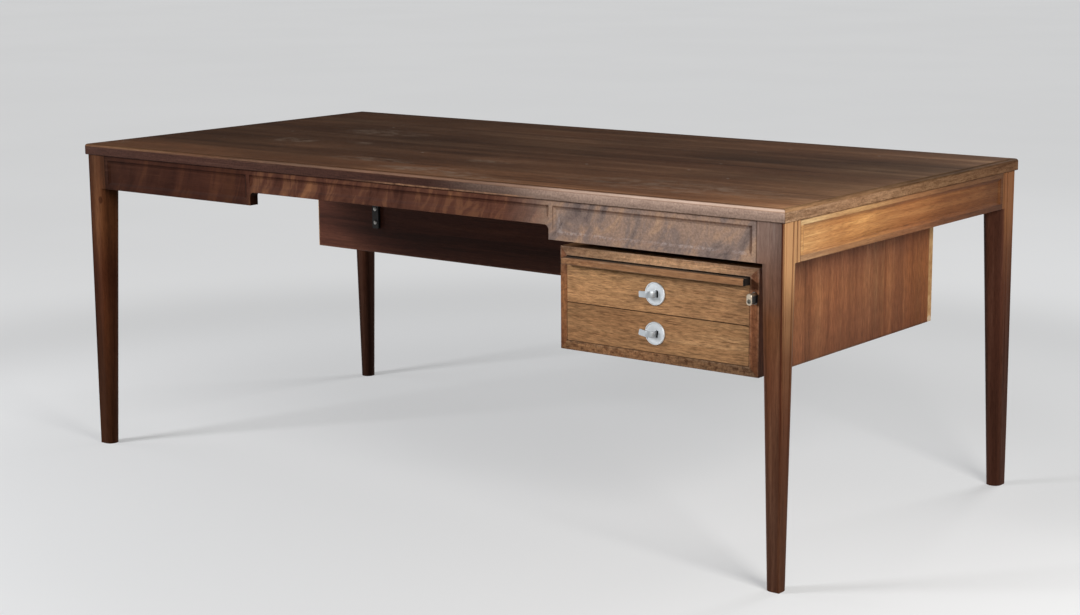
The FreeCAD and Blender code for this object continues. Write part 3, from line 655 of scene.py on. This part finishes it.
def lip_end(tree, paint):
    """The slide's lip, stained at its left; its ends black, partly lacquer and partly painted shadow."""
    cloud = tree.noise((60.0, 60.0, 160.0), detail=4.0, roughness=0.7)
    left = tree.spread(tree.x, FRONTS_LEFT, 0.60, 0.85, 0.15)
    paint = tree.stain(paint, tree.times(tree.spread(cloud, 0.42, 0.60), left), LIP_MARK)
    off = tree.size(tree.minus(tree.x, PULL_X))
    return tree.mix(paint, LIP_END_BLACK, tree.spread(off, LIP_HALF - 0.0012, LIP_HALF - 0.0006))


# Tones of the woods, dark to light, in linear light

DRAWER = ((0.190, 0.094, 0.040), (0.335, 0.182, 0.083), (0.460, 0.272, 0.132))
CASE = ((0.155, 0.075, 0.033), (0.285, 0.148, 0.070), (0.415, 0.236, 0.115))
SIDE = ((0.105, 0.0355, 0.0150), (0.198, 0.0765, 0.0340), (0.300, 0.138, 0.063))
APRON_SIDE = ((0.210, 0.085, 0.031), (0.385, 0.172, 0.064), (0.530, 0.268, 0.106))
APRON_LONG = ((0.028, 0.0085, 0.0045), (0.060, 0.0205, 0.0115), (0.108, 0.044, 0.026))
APRON_BACK = ((0.062, 0.022, 0.012), (0.130, 0.050, 0.028), (0.240, 0.118, 0.066))
LEG = ((0.050, 0.0178, 0.0080), (0.092, 0.0345, 0.0170), (0.152, 0.066, 0.034))
TOP = ((0.060, 0.026, 0.012), (0.130, 0.061, 0.030), (0.220, 0.118, 0.064))
LIPPING = ((0.032, 0.013, 0.009), (0.054, 0.023, 0.016), (0.088, 0.045, 0.032))
LIPPING_GOLD = ((0.215, 0.116, 0.060), (0.350, 0.205, 0.112), (0.470, 0.305, 0.185))
BACK = ((0.042, 0.0135, 0.0075), (0.080, 0.0275, 0.0165), (0.130, 0.050, 0.030))
BEECH = ((0.360, 0.235, 0.130), (0.470, 0.320, 0.190), (0.560, 0.400, 0.255))
PLY = ((0.300, 0.195, 0.105), (0.400, 0.270, 0.155), (0.490, 0.345, 0.210))


# The wooden pieces

def paint_node(node, material):
    """Puts one material on a CAD node."""
    slots = nodes[node].data.materials
    slots.clear()
    slots.append(material)


def paint_wood(node, grain, tones, seed, **settings):
    paint_node(node, wood(node, grain, tones, seed, **settings))


paint_wood("top_board", "x", TOP, 3.1, fleck=0.22, pores=0.35, roughness=0.56, wear=0.0,
           looks=(top_tint, worn_top))

# Shares along each lipping of the pale haze, partly bleached polish and partly painted sheen, and of the
# painted highlight on the rounding, partly worn
PALE_FRONT = [(0.55, 0.0), (0.65, 0.22), (0.73, 0.66), (0.80, 0.78), (1.0, 0.72)]
PALE_NONE = [(0.0, 0.06), (1.0, 0.06)]
ARRIS_FRONT = [(0.0, 0.0), (0.2, 0.02), (0.4, 0.10), (0.6, 0.13), (0.68, 0.24), (0.76, 0.62), (0.84, 0.80),
               (1.0, 0.80)]
ARRIS_PLAIN = [(0.0, 0.10), (1.0, 0.10)]
ARRIS_NONE = [(0.0, 0.0), (1.0, 0.0)]
UPPER_FROM_DARK = (1.95, 2.15, 1.55)
UPPER_FROM_GOLD = (0.42, 0.37, 0.35)
# Painted light along the right lipping: paler towards its front end, darker towards its back
LIP_FADE = [(0.0, (1.06, 1.16, 1.22)), (0.38, (0.98, 0.98, 0.96)), (0.52, (0.78, 0.75, 0.70)),
            (1.0, (0.66, 0.60, 0.57))]
# Grain, tones, gloss and looks of each lipping
LIPPINGS = {
    "front": ("x", LIPPING, 0.06,
              (lipping_look(1, -1.0, UPPER_FROM_DARK, PALE_FRONT, ARRIS_FRONT, 0.20), worn_line)),
    "back": ("x", LIPPING, 0.06, (lipping_look(1, 1.0, UPPER_FROM_DARK, PALE_NONE, ARRIS_PLAIN, 0.35),)),
    "left": ("y", LIPPING, 0.06, (lipping_look(0, -1.0, UPPER_FROM_DARK, PALE_NONE, ARRIS_PLAIN, 0.45),)),
    "right": ("y", LIPPING_GOLD, 0.01,
              (lipping_look(0, 1.0, UPPER_FROM_GOLD, PALE_NONE, ARRIS_NONE, 0.75),
               fade(1, -HALF_DEPTH, HALF_DEPTH, LIP_FADE)))}
for number, (side, (grain, tones, gloss, looks)) in enumerate(LIPPINGS.items()):
    paint_wood("lipping_" + side, grain, tones, 5.3 + number, pores=0.8, roughness=0.58, gloss=gloss,
               wear=0.0, looks=looks)

LEG_PLAIN = [(0.3, 1.0), (0.6, 1.0)]
# Gain, gain of the gold, tint of the front by height; painted light and shade for each leg: darker gains
# for the front left and back left legs, less gold on the back legs, a greyish painted sheen at the head of
# the near leg's front
LEG_TINTS = {
    "front_right": ((1.0, 1.0, 1.0), (1.10, 1.14, 1.16),
                    [(0.12, (1.14, 1.28, 1.48)), (0.30, (1.10, 1.18, 1.26)), (0.40, (1.24, 1.26, 1.26)),
                     (0.50, (1.58, 1.74, 1.58)), (0.57, (1.66, 2.28, 3.0)), (0.68, (2.05, 3.75, 6.2))]),
    "front_left": ((0.66, 0.55, 0.44), (0.85, 0.80, 0.75),
                   [(0.10, (1.22, 1.40, 1.60)), (0.30, (1.22, 1.25, 1.25)), (0.40, (0.92, 0.90, 0.92)),
                    (0.54, (1.46, 1.72, 1.70)), (0.68, (1.04, 1.28, 1.40))]),
    "back_right": ((1.01, 1.04, 1.29), (0.64, 0.52, 0.45), LEG_PLAIN),
    "back_left": ((0.55, 0.56, 0.65), (0.70, 0.62, 0.60), LEG_PLAIN)}
for number, (corner, tints) in enumerate(LEG_TINTS.items()):
    paint_wood("leg_" + corner, "z", LEG, 9.7 + number, pores=0.6, gloss=0.04, wear=0.0,
               looks=(leg_patina_and_light(*tints), leg_back))

# Cloud tones of the front apron's left, knee and right parts; their rise from dark at the left to pale grey
# at the right is partly the veneer's figure and partly painted light and sheen
CLOUDS_LEFT = [(0.36, (0.026, 0.0095, 0.006)), (0.50, (0.046, 0.0165, 0.010)),
               (0.66, (0.082, 0.031, 0.015))]
CLOUDS_KNEE = [(0.34, (0.052, 0.020, 0.013)), (0.48, (0.096, 0.038, 0.024)), (0.60, (0.175, 0.076, 0.040)),
               (0.72, (0.280, 0.125, 0.058))]
CLOUDS_RIGHT = [(0.30, (0.120, 0.094, 0.088)), (0.42, (0.205, 0.153, 0.132)), (0.51, (0.285, 0.193, 0.146)),
                (0.60, (0.345, 0.222, 0.150)), (0.72, (0.44, 0.285, 0.175))]
# Painted light along the front apron: dark at its left end, pale towards its right
FRONT_FADE = [(0.0, (0.48, 0.51, 0.49)), (0.15, (0.63, 0.55, 0.51)), (0.35, (0.92, 0.86, 0.84)),
              (0.52, (1.05, 1.05, 1.08)), (0.58, (1.9, 2.1, 2.1)), (0.70, (1.75, 1.95, 2.1)),
              (0.80, (2.0, 2.2, 2.3))]
# A pale grey haze towards the right of the front apron, partly bleached polish and partly painted sheen
FRONT_HAZE = [(0.66, 0.0), (0.74, 0.33), (0.82, 0.52), (0.90, 0.62), (1.0, 0.56)]
FRONT_HAZE_TONE = (0.42, 0.31, 0.25)
# Painted light on the side aprons: paler towards the front end and darker towards the back, darker along
# the foot and paler along the top
SIDE_FADE = [(0.0, (1.59, 2.15, 2.55)), (0.22, (1.45, 1.66, 1.69)), (0.5, (0.94, 0.88, 0.88)),
             (0.75, (0.58, 0.53, 0.54)), (1.0, (0.47, 0.45, 0.50))]
SIDE_UPRIGHT = [(0.0, (0.60, 0.60, 0.72)), (0.13, (0.60, 0.60, 0.72)), (0.16, (0.80, 0.73, 0.66)),
                (0.84, (0.80, 0.73, 0.66)), (0.87, (0.88, 1.0, 1.15)), (1.0, (0.88, 1.0, 1.15))]
# Tones of painted shade on the fields' lower and end slopes
DARK_WALL, SOFT_WALL = (0.62, 0.55, 0.52), (0.86, 0.83, 0.82)
END_WALL, PLAIN_WALL = (0.60, 0.53, 0.50), 1.0
paint_wood("apron_front", "x", APRON_LONG, 15.1, figure=0.38, ripple=16.0, fleck=0.2, gloss=0.03, wear=0.0,
           looks=(fade(0, -APRON_END_X, APRON_END_X, FRONT_FADE),
                  clouded(-0.89, -0.41, (15.0, 5.0), CLOUDS_LEFT, 0.55),
                  clouded(-0.44, 0.42, (24.0, 9.0), CLOUDS_KNEE, 0.65),
                  haze(0, -APRON_END_X, APRON_END_X, FRONT_HAZE_TONE, FRONT_HAZE),
                  clouded(0.38, 0.92, (17.0, 10.0), CLOUDS_RIGHT, 0.85),
                  speckled(0.20, 0.50, 0.17), worn_and_lit_field,
                  field_lines(FRONT_FIELDS, 0, SOFT_WALL, END_WALL, 0.9, 0.55), knee_ends,
                  seams(0, SEAM_X)))
paint_wood("apron_back", "x", APRON_BACK, 16.1, figure=0.30, wear=0.35,
           looks=(field_lines(BACK_FIELDS, 0, DARK_WALL, DARK_WALL, 0.8, 0.6), seams(0, SEAM_X)))
for number, side in enumerate(HANDS):
    paint_wood("apron_" + side, "y", APRON_SIDE, 18.4 + number, figure=0.12, ripple=5.0, streak=1.35,
               pores=0.6, wear=0.0,
               looks=(fade(1, -APRON_END_Y, APRON_END_Y, SIDE_FADE),
                      fade(2, APRON_LOW, UNDER_TOP, SIDE_UPRIGHT),
                      field_lines(SIDE_FIELDS, 1, PLAIN_WALL, PLAIN_WALL, 0.6, 0.3), seams(1, SEAM_Y)))

HIDDEN_WOOD = {"pores": 0.3, "roughness": 0.6, "wear": 0.0}
RUNNER_WOOD = {"pores": 0.3, "roughness": 0.5, "wear": 0.0}
for number, node in enumerate(("cross_rail_left", "cross_rail_middle", "hanger_left", "hanger_right")):
    paint_wood(node, "y", BEECH, 22.0 + number, **HIDDEN_WOOD)
paint_wood("back_board", "x", BACK, 27.3, figure=0.1, ripple=4.0, wear=0.3, looks=(board_end,))

TOP_RAIL = [(0.0, (0.86, 0.91, 1.06)), (0.18, (1.28, 1.40, 1.60)), (0.45, (1.98, 2.24, 2.56)),
            (0.75, (1.84, 2.12, 2.44)), (1.0, (1.15, 1.33, 1.62))]
BOTTOM_RAIL = [(0.0, (0.82, 0.78, 0.72)), (0.4, (0.86, 0.86, 0.84)), (0.65, 0.62),
               (1.0, (0.62, 0.66, 0.72))]
LEFT_STILE = [(0.0, (0.80, 0.74, 0.64)), (0.5, (0.98, 0.94, 0.80)), (1.0, (1.05, 1.10, 1.10))]
RIGHT_STILE = [(0.0, (1.0, 1.10, 1.06)), (0.5, (1.32, 1.42, 1.44)), (0.8, (1.15, 1.25, 1.25)),
               (1.0, (1.5, 1.7, 1.7))]
CASE_BOARDS = {
    "left": ("z", SIDE, (case_side, case_edge(2, CASE_LOW, CASE_HIGH, LEFT_STILE, 0.55))),
    "right": ("z", SIDE, (case_side, case_edge(2, CASE_LOW, CASE_HIGH, RIGHT_STILE, 0.45))),
    "top": ("x", CASE, (case_edge(0, CASE_LEFT, CASE_RIGHT, TOP_RAIL, 0.45),)),
    "bottom": ("x", CASE, (case_edge(0, CASE_LEFT, CASE_RIGHT, BOTTOM_RAIL, 0.95),))}
for number, (side, (grain, tones, looks)) in enumerate(CASE_BOARDS.items()):
    paint_wood("pedestal_" + side, grain, tones, 31.9 + number, streak=0.85, fleck=0.26, pores=0.6,
               looks=looks)

DRAWER_WEAR = (0.30, 0.16, 0.08)
# Painted light on the drawer fronts: the upper one lighter, most at its left; the lower one darker, least
# at its right
DRAWER_FADE = {"lower": [(0.2, (0.84, 0.84, 0.82)), (0.7, (0.93, 0.94, 0.93))],
               "upper": [(0.2, (1.24, 1.26, 1.24)), (0.8, (1.0, 1.02, 1.04))]}
for number, level in enumerate(LEVELS):
    paint_wood("drawer_" + level + "_front", "x", DRAWER, 41.2 + number, streak=0.78, fleck=0.44, pores=0.9,
               wear=0.35, wear_tone=DRAWER_WEAR, wear_width=0.003,
               looks=(fade(0, FRONTS_LEFT, FRONTS_RIGHT, DRAWER_FADE[level]),
                      slot_shadow(PULL_HEIGHTS[level])))
    for step, (piece, grain) in enumerate((("left_side", "y"), ("right_side", "y"), ("back", "x"))):
        paint_wood("drawer_" + level + "_" + piece, grain, BEECH, 44.0 + number + step * 2.3, **HIDDEN_WOOD)
    paint_wood("drawer_" + level + "_bottom", "y", PLY, 52.6 + number, **HIDDEN_WOOD)
    for step, hand in enumerate(HANDS):
        paint_wood("runner_" + level + "_" + hand, "y", BEECH, 55.8 + number + step * 1.7, **RUNNER_WOOD)
for number, hand in enumerate(HANDS):
    paint_wood("slide_runner_" + hand, "y", BEECH, 61.5 + number, **RUNNER_WOOD)
paint_wood("slide_lip", "x", CASE, 64.3, fleck=0.22, pores=0.7, wear=0.5, wear_width=0.003,
           looks=(lip_end,))


# Other materials

def lacquer(name):
    """Black lacquer with fine specks and rubbed places."""
    tree = Tree(name)
    cloud = tree.noise(9.0, detail=4.0)
    speck = tree.noise(900.0, detail=2.0)
    paint = tree.ramp(cloud, [(0.3, 0.010), (0.7, (0.024, 0.022, 0.020))])
    tree.rough = tree.spread(cloud, 0.3, 0.7, 0.30, 0.44)
    return tree.finish(paint, tree.bump(speck, 0.08, 0.0002), Specular_IOR_Level=0.5)


# Painted shade: the black inside the pulls' slots
SLOT_SHADE_BLACK, SLOT_RADIUS = 0.01, 0.017


def slot_mask(tree, deep):
    """One inside the slots of both pulls, behind the faces of their discs, where painted shade goes."""
    middle = (PULL_HEIGHTS["upper"] + PULL_HEIGHTS["lower"]) / 2
    off = tree.size(tree.minus(tree.z, middle))
    off = tree.minus(off, PULL_HEIGHTS["upper"] - middle)
    across = tree.minus(tree.x, PULL_X)
    apart = tree.plus(tree.times(off, off), tree.times(across, across))
    inside = tree.spread(apart, SLOT_RADIUS ** 2, (SLOT_RADIUS + 0.001) ** 2, 1.0, 0.0)
    return tree.times(inside, tree.spread(tree.y, deep + 0.0002, deep + 0.0008))


def satin_steel(name, tone, axis, roughness, metal, deep=None):
    """Brushed satin metal with a fine directional scratch, with painted shade in black inside a pull's
    slot.
    """
    tree = Tree(name)
    stretch = [1500.0, 1500.0, 1500.0]
    stretch[axis] = 40.0
    scratch = tree.noise(tuple(stretch), detail=2.0)
    cloud = tree.noise(40.0, detail=3.0)
    dim = tuple(part * 0.86 for part in tone)
    paint = tree.ramp(cloud, [(0.3, dim), (0.7, tone)])
    tree.rough = tree.plus(roughness - 0.08, tree.times(scratch, 0.16))
    if deep is not None:
        paint = tree.mix(paint, SLOT_SHADE_BLACK, slot_mask(tree, deep))
    return tree.finish(paint, tree.bump(scratch, 0.06, 0.0001), Metallic=metal)


# Painted reflection of a dark room: the near black of the lock barrel's flat sides
LOCK_PAINTED_DARK_REFLECTION = (0.018, 0.016, 0.015)


def lock_nickel(name):
    """Bright nickel on the lock's front; on its barrel painted reflections, bright bands at its round ends
    and near black on its flat sides.
    """
    tree = Tree(name)
    scratch = tree.noise((1500.0, 60.0, 1500.0), detail=2.0)
    cloud = tree.noise(160.0, detail=3.0)
    bright = tree.ramp(cloud, [(0.3, (0.47, 0.39, 0.29)), (0.7, (0.62, 0.52, 0.40))])
    face = tree.spread(tree.y, LOCK_FRONT + 0.0010, LOCK_FRONT + 0.0016, 1.0, 0.0)
    low, high = (end[2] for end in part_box("lock_cylinder"))
    # Painted highlights: bright bands along the barrel's round ends
    ends = tree.most(tree.spread(tree.z, high - 0.0055, high - 0.0035),
                     tree.spread(tree.z, low + 0.0020, low + 0.0035, 0.8, 0.0))
    paint = tree.mix(LOCK_PAINTED_DARK_REFLECTION, bright, tree.most(face, ends))
    tree.rough = tree.plus(0.24, tree.times(scratch, 0.16))
    return tree.finish(paint, tree.bump(scratch, 0.06, 0.0001), Metallic=0.6)


def black_iron(name):
    """Blackened iron with a little brown at the rubbed places."""
    tree = Tree(name)
    cloud = tree.noise(60.0, detail=5.0, roughness=0.65)
    grit = tree.noise(700.0, detail=3.0)
    paint = tree.ramp(cloud, [(0.35, (0.012, 0.012, 0.013)), (0.62, (0.030, 0.027, 0.025)),
                              (0.8, (0.075, 0.050, 0.034))])
    tree.rough = tree.spread(cloud, 0.3, 0.7, 0.42, 0.60)
    return tree.finish(paint, tree.bump(grit, 0.2, 0.0003), Metallic=0.6)


disc_metal = satin_steel("pull_disc_metal", (0.63, 0.66, 0.68), 2, 0.52, 0.75, DISH_Y)
# The tongue is the disc's metal painted darker, as painted shade
tongue_metal = satin_steel("pull_tongue_metal", (0.44, 0.47, 0.49), 2, 0.48, 0.80, DISH_Y)
# The sleeve's chrome painted dark grey, partly tarnish and partly a painted reflection of a dark room
chrome = satin_steel("lock_chrome_metal", (0.17, 0.165, 0.16), 1, 0.24, 1.0)
core_metal = satin_steel("lock_core_metal", (0.17, 0.16, 0.13), 2, 0.42, 0.70)
screw_metal = satin_steel("screw_metal", (0.40, 0.39, 0.37), 0, 0.42, 0.85)
iron = black_iron("strap_iron_black")
paint_node("slide_leaf", lacquer("slide_leaf_black"))
for level in LEVELS:
    paint_node("pull_disc_" + level, disc_metal)
    paint_node("pull_tongue_" + level, tongue_metal)
paint_node("lock_cylinder", lock_nickel("lock_nickel_metal"))
paint_node("lock_sleeve", chrome)
paint_node("lock_core", core_metal)
for hand in HANDS:
    paint_node("strap_" + hand, iron)
    for level in LEVELS:
        paint_node("strap_screw_" + hand + "_" + level, screw_metal)


# Arrises

WOODEN = ("lipping_", "apron_", "pedestal_", "drawer_", "leg_", "back_board", "slide_", "hanger_", "cross_")
METAL = ("strap_left", "strap_right", "pull_tongue_")
WOODEN_ARRIS, METAL_ARRIS = 0.0006, 0.0004
WELD_REACH = 0.00002
BEVEL_SEGMENTS, BEVEL_ANGLE = 2, math.radians(40.0)


def soften(node, width):
    """Rounds the sharp arrises of a CAD node a little, without touching its mesh."""
    weld = nodes[node].modifiers.new("weld", "WELD")
    weld.merge_threshold = WELD_REACH
    bevel = nodes[node].modifiers.new("bevel", "BEVEL")
    bevel.width = width
    bevel.segments = BEVEL_SEGMENTS
    bevel.limit_method = "ANGLE"
    bevel.angle_limit = BEVEL_ANGLE
    bevel.harden_normals = True


for node in nodes:
    if node.startswith(WOODEN):
        soften(node, WOODEN_ARRIS)
    elif node.startswith(METAL):
        soften(node, METAL_ARRIS)


# Screws

HEAD_HEIGHT, HEAD_RISE_SHARE, HEAD_STEPS = 0.0026, 0.55, 8
SHANK_RADIUS = 0.0022
SLOT_WIDTH, SLOT_DEPTH_SHARE = 0.0011, 0.55
LATHE_TURNS = 32
SHARP_ANGLE = math.radians(35.0)


def link_piece(name, data):
    """A new object in the scene."""
    piece = bpy.data.objects.new(name, data)
    scene.collection.objects.link(piece)
    return piece


def to_mesh(shape, name):
    """A mesh from a bmesh, which is freed."""
    mesh = bpy.data.meshes.new(name)
    shape.to_mesh(mesh)
    shape.free()
    return mesh


def circle(count):
    """Cosine and sine of evenly spaced turns."""
    turns = [2.0 * math.pi * step / count for step in range(count)]
    return [(math.cos(turn), math.sin(turn)) for turn in turns]


def lathe(profile):
    """A closed mesh turned round the Y axis from (radius, y) points that start and end on the axis."""
    shape = bmesh.new()
    rings = []
    for radius, y in profile:
        if radius == 0:
            rings.append([shape.verts.new((0.0, y, 0.0))])
        else:
            rings.append([shape.verts.new((radius * x, y, radius * z)) for x, z in circle(LATHE_TURNS)])
    for first, second in zip(rings, rings[1:]):
        for step in range(LATHE_TURNS):
            follow = (step + 1) % LATHE_TURNS
            corners = [first[step % len(first)], first[follow % len(first)],
                       second[follow % len(second)], second[step % len(second)]]
            shape.faces.new(list(dict.fromkeys(corners)))
    bmesh.ops.recalc_face_normals(shape, faces=shape.faces)
    return shape


def screw(node, turn):
    """A round-headed slotted screw in place of a plain one."""
    low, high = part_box(node)
    radius = (high[0] - low[0]) / 2.0
    rise = HEAD_HEIGHT * HEAD_RISE_SHARE
    under_head = low[1] + HEAD_HEIGHT
    profile = [(0.0, low[1])]
    for step in range(1, HEAD_STEPS + 1):
        angle = math.pi / 2.0 * step / HEAD_STEPS
        profile.append((radius * math.sin(angle), low[1] + rise * (1.0 - math.cos(angle))))
    profile += [(radius, under_head), (SHANK_RADIUS, under_head), (SHANK_RADIUS, high[1] - SHANK_RADIUS),
                (0.0, high[1])]
    piece = link_piece(node + "_slotted", to_mesh(lathe(profile), node + "_turned"))
    blade = bmesh.new()
    bmesh.ops.create_cube(blade, size=1.0)
    bmesh.ops.scale(blade, vec=(radius * 2.5, HEAD_HEIGHT * SLOT_DEPTH_SHARE * 2.0, SLOT_WIDTH),
                    verts=blade.verts)
    bmesh.ops.translate(blade, vec=(0.0, low[1], 0.0), verts=blade.verts)
    cutter = link_piece(node + "_blade", to_mesh(blade, node + "_blade"))
    cut = piece.modifiers.new("slot", "BOOLEAN")
    cut.object = cutter
    cut.operation = "DIFFERENCE"
    cut.solver = "EXACT"
    evaluated = piece.evaluated_get(bpy.context.evaluated_depsgraph_get())
    finished = bpy.data.meshes.new_from_object(evaluated)
    piece.modifiers.clear()
    piece.data = finished
    bpy.data.objects.remove(cutter)
    finished.transform(Matrix.Rotation(turn, 4, "Y"))
    finished.transform(Matrix.Translation(((low[0] + high[0]) / 2.0, 0.0, (low[2] + high[2]) / 2.0)))
    for face in finished.polygons:
        face.use_smooth = True
    finished.set_sharp_from_angle(angle=SHARP_ANGLE)
    finished.materials.clear()
    finished.materials.append(screw_metal)
    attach(piece, "desk")
    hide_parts(node)


for number, hand in enumerate(HANDS):
    for step, level in enumerate(LEVELS):
        screw("strap_screw_" + hand + "_" + level, 0.5 + 1.3 * number + 0.8 * step)


# Stage, light and camera

# Radius and height of the floor's rings; its far rim rises as a backdrop
FLOOR_RINGS = ((8.0, 0.0), (40.0, 0.0), (46.0, 0.6), (50.0, 2.0), (52.0, 4.0))
FLOOR_SEGMENTS = 64
# The floor's glow in small clouds, its paint from near to far, and the grey that lights the object
FLOOR_GLOW = [(0.3, (0.735, 0.74, 0.745)), (0.7, (0.75, 0.755, 0.76))]
FLOOR_PAINT = [(0.0, (0.475, 0.48, 0.485)), (1.0, (0.110, 0.111, 0.113))]
FLOOR_BOUNCE = (0.26, 0.26, 0.26, 1.0)
# Radii between which the paint fades and the glow rises, and the glow's strength at each
PAINT_FADE, GLOW_RISE = (1.2, 2.5), (1.1, 2.8, 0.42, 0.82)


def floor_mesh():
    """A wide disc with a raised rim."""
    shape = bmesh.new()
    rings = [[shape.verts.new((radius * x, radius * y, height)) for x, y in circle(FLOOR_SEGMENTS)]
             for radius, height in FLOOR_RINGS]
    shape.faces.new(rings[0])
    for inner, outer in zip(rings, rings[1:]):
        for step in range(FLOOR_SEGMENTS):
            after = (step + 1) % FLOOR_SEGMENTS
            shape.faces.new((inner[step], outer[step], outer[after], inner[after]))
    for face in shape.faces:
        face.smooth = True
    return to_mesh(shape, "floor")


def stage_floor():
    """A plain pale floor, which takes the object's shadow around it."""
    floor = link_piece("floor", floor_mesh())
    tree = Tree("floor_pale")
    pale = tree.ramp(tree.noise(0.6, detail=4.0), FLOOR_GLOW)
    length = tree.add("ShaderNodeVectorMath", {"operation": "LENGTH"})
    tree.put(length.inputs[0], tree.place)
    far = length.outputs["Value"]
    shown = tree.add("ShaderNodeBsdfPrincipled",
                     Base_Color=tree.ramp(tree.spread(far, *PAINT_FADE, smooth=True), FLOOR_PAINT),
                     Emission_Color=pale, Emission_Strength=tree.spread(far, *GLOW_RISE, smooth=True),
                     Roughness=0.65, Specular_IOR_Level=0.1)
    dim = tree.add("ShaderNodeBsdfDiffuse", Color=FLOOR_BOUNCE)
    path = tree.add("ShaderNodeLightPath")
    seen = tree.most(path.outputs["Is Camera Ray"], path.outputs["Is Glossy Ray"])
    seen = tree.most(seen, path.outputs["Is Transmission Ray"])
    both = tree.add("ShaderNodeMixShader")
    for socket, value in zip(both.inputs, (seen, dim.outputs[0], shown.outputs[0])):
        tree.put(socket, value)
    tree.put(tree.output.inputs[0], both.outputs[0])
    floor.data.materials.append(tree.material)


def area_light(name, position, target, size, power, tint=(1.0, 1.0, 1.0)):
    """A rectangular soft lamp that looks at a place."""
    lamp = bpy.data.lights.new(name, "AREA")
    lamp.shape = "RECTANGLE"
    lamp.size, lamp.size_y = size
    lamp.energy = power
    lamp.color = tint
    holder = link_piece(name, lamp)
    holder.location = position
    direction = Vector(target) - Vector(position)
    holder.rotation_euler = direction.to_track_quat("-Z", "Y").to_euler()
    holder.visible_camera = False


stage_floor()
area_light("key", (2.9, -1.3, 1.5), (0.6, -0.1, 0.5), (1.1, 1.1), 72.0, (1.0, 0.975, 0.94))
area_light("front", (-2.4, -3.6, 2.0), (0.2, -0.4, 0.5), (1.2, 1.0), 158.0, (0.98, 0.985, 1.0))
area_light("top", (0.0, 0.1, 3.4), (0.0, 0.0, 0.7), (2.6, 2.0), 4.0)
area_light("back", (1.0, 4.2, 2.6), (0.0, 0.3, 0.45), (2.0, 1.6), 80.0)
area_light("left", (-3.4, -0.9, 1.3), (-0.6, 0.1, 0.45), (1.6, 1.6), 14.0)

WORLD_TONE = (0.06, 0.061, 0.063, 1.0)
world = bpy.data.worlds.new("studio")
world.use_nodes = True
background = world.node_tree.nodes["Background"]
background.inputs[0].default_value = WORLD_TONE
background.inputs[1].default_value = 1.0
scene.world = world

AZIMUTH, ELEVATION, ROLL = (math.radians(angle) for angle in (37.992, 10.791, -0.414))
CAMERA_PLACE = Vector((2.8869, -3.6676, 1.2507))
FOCAL_PIXELS, IMAGE_WIDTH = 2097.7, 1080.0
SENSOR_WIDTH, CLIP_END = 36.0, 200.0
back = Vector((math.sin(AZIMUTH) * math.cos(ELEVATION), -math.cos(AZIMUTH) * math.cos(ELEVATION),
               math.sin(ELEVATION)))
level = Vector((math.cos(AZIMUTH), math.sin(AZIMUTH), 0.0))
upward = back.cross(level)
right = level * math.cos(ROLL) + upward * math.sin(ROLL)
up = upward * math.cos(ROLL) - level * math.sin(ROLL)
lens = bpy.data.cameras.new("camera")
lens.sensor_width = SENSOR_WIDTH
lens.lens = FOCAL_PIXELS * SENSOR_WIDTH / IMAGE_WIDTH
lens.clip_end = CLIP_END
camera = link_piece("camera", lens)
camera.matrix_world = Matrix((right, up, back)).transposed().to_4x4()
camera.location = CAMERA_PLACE
scene.camera = camera
scene.view_settings.view_transform = "Standard"
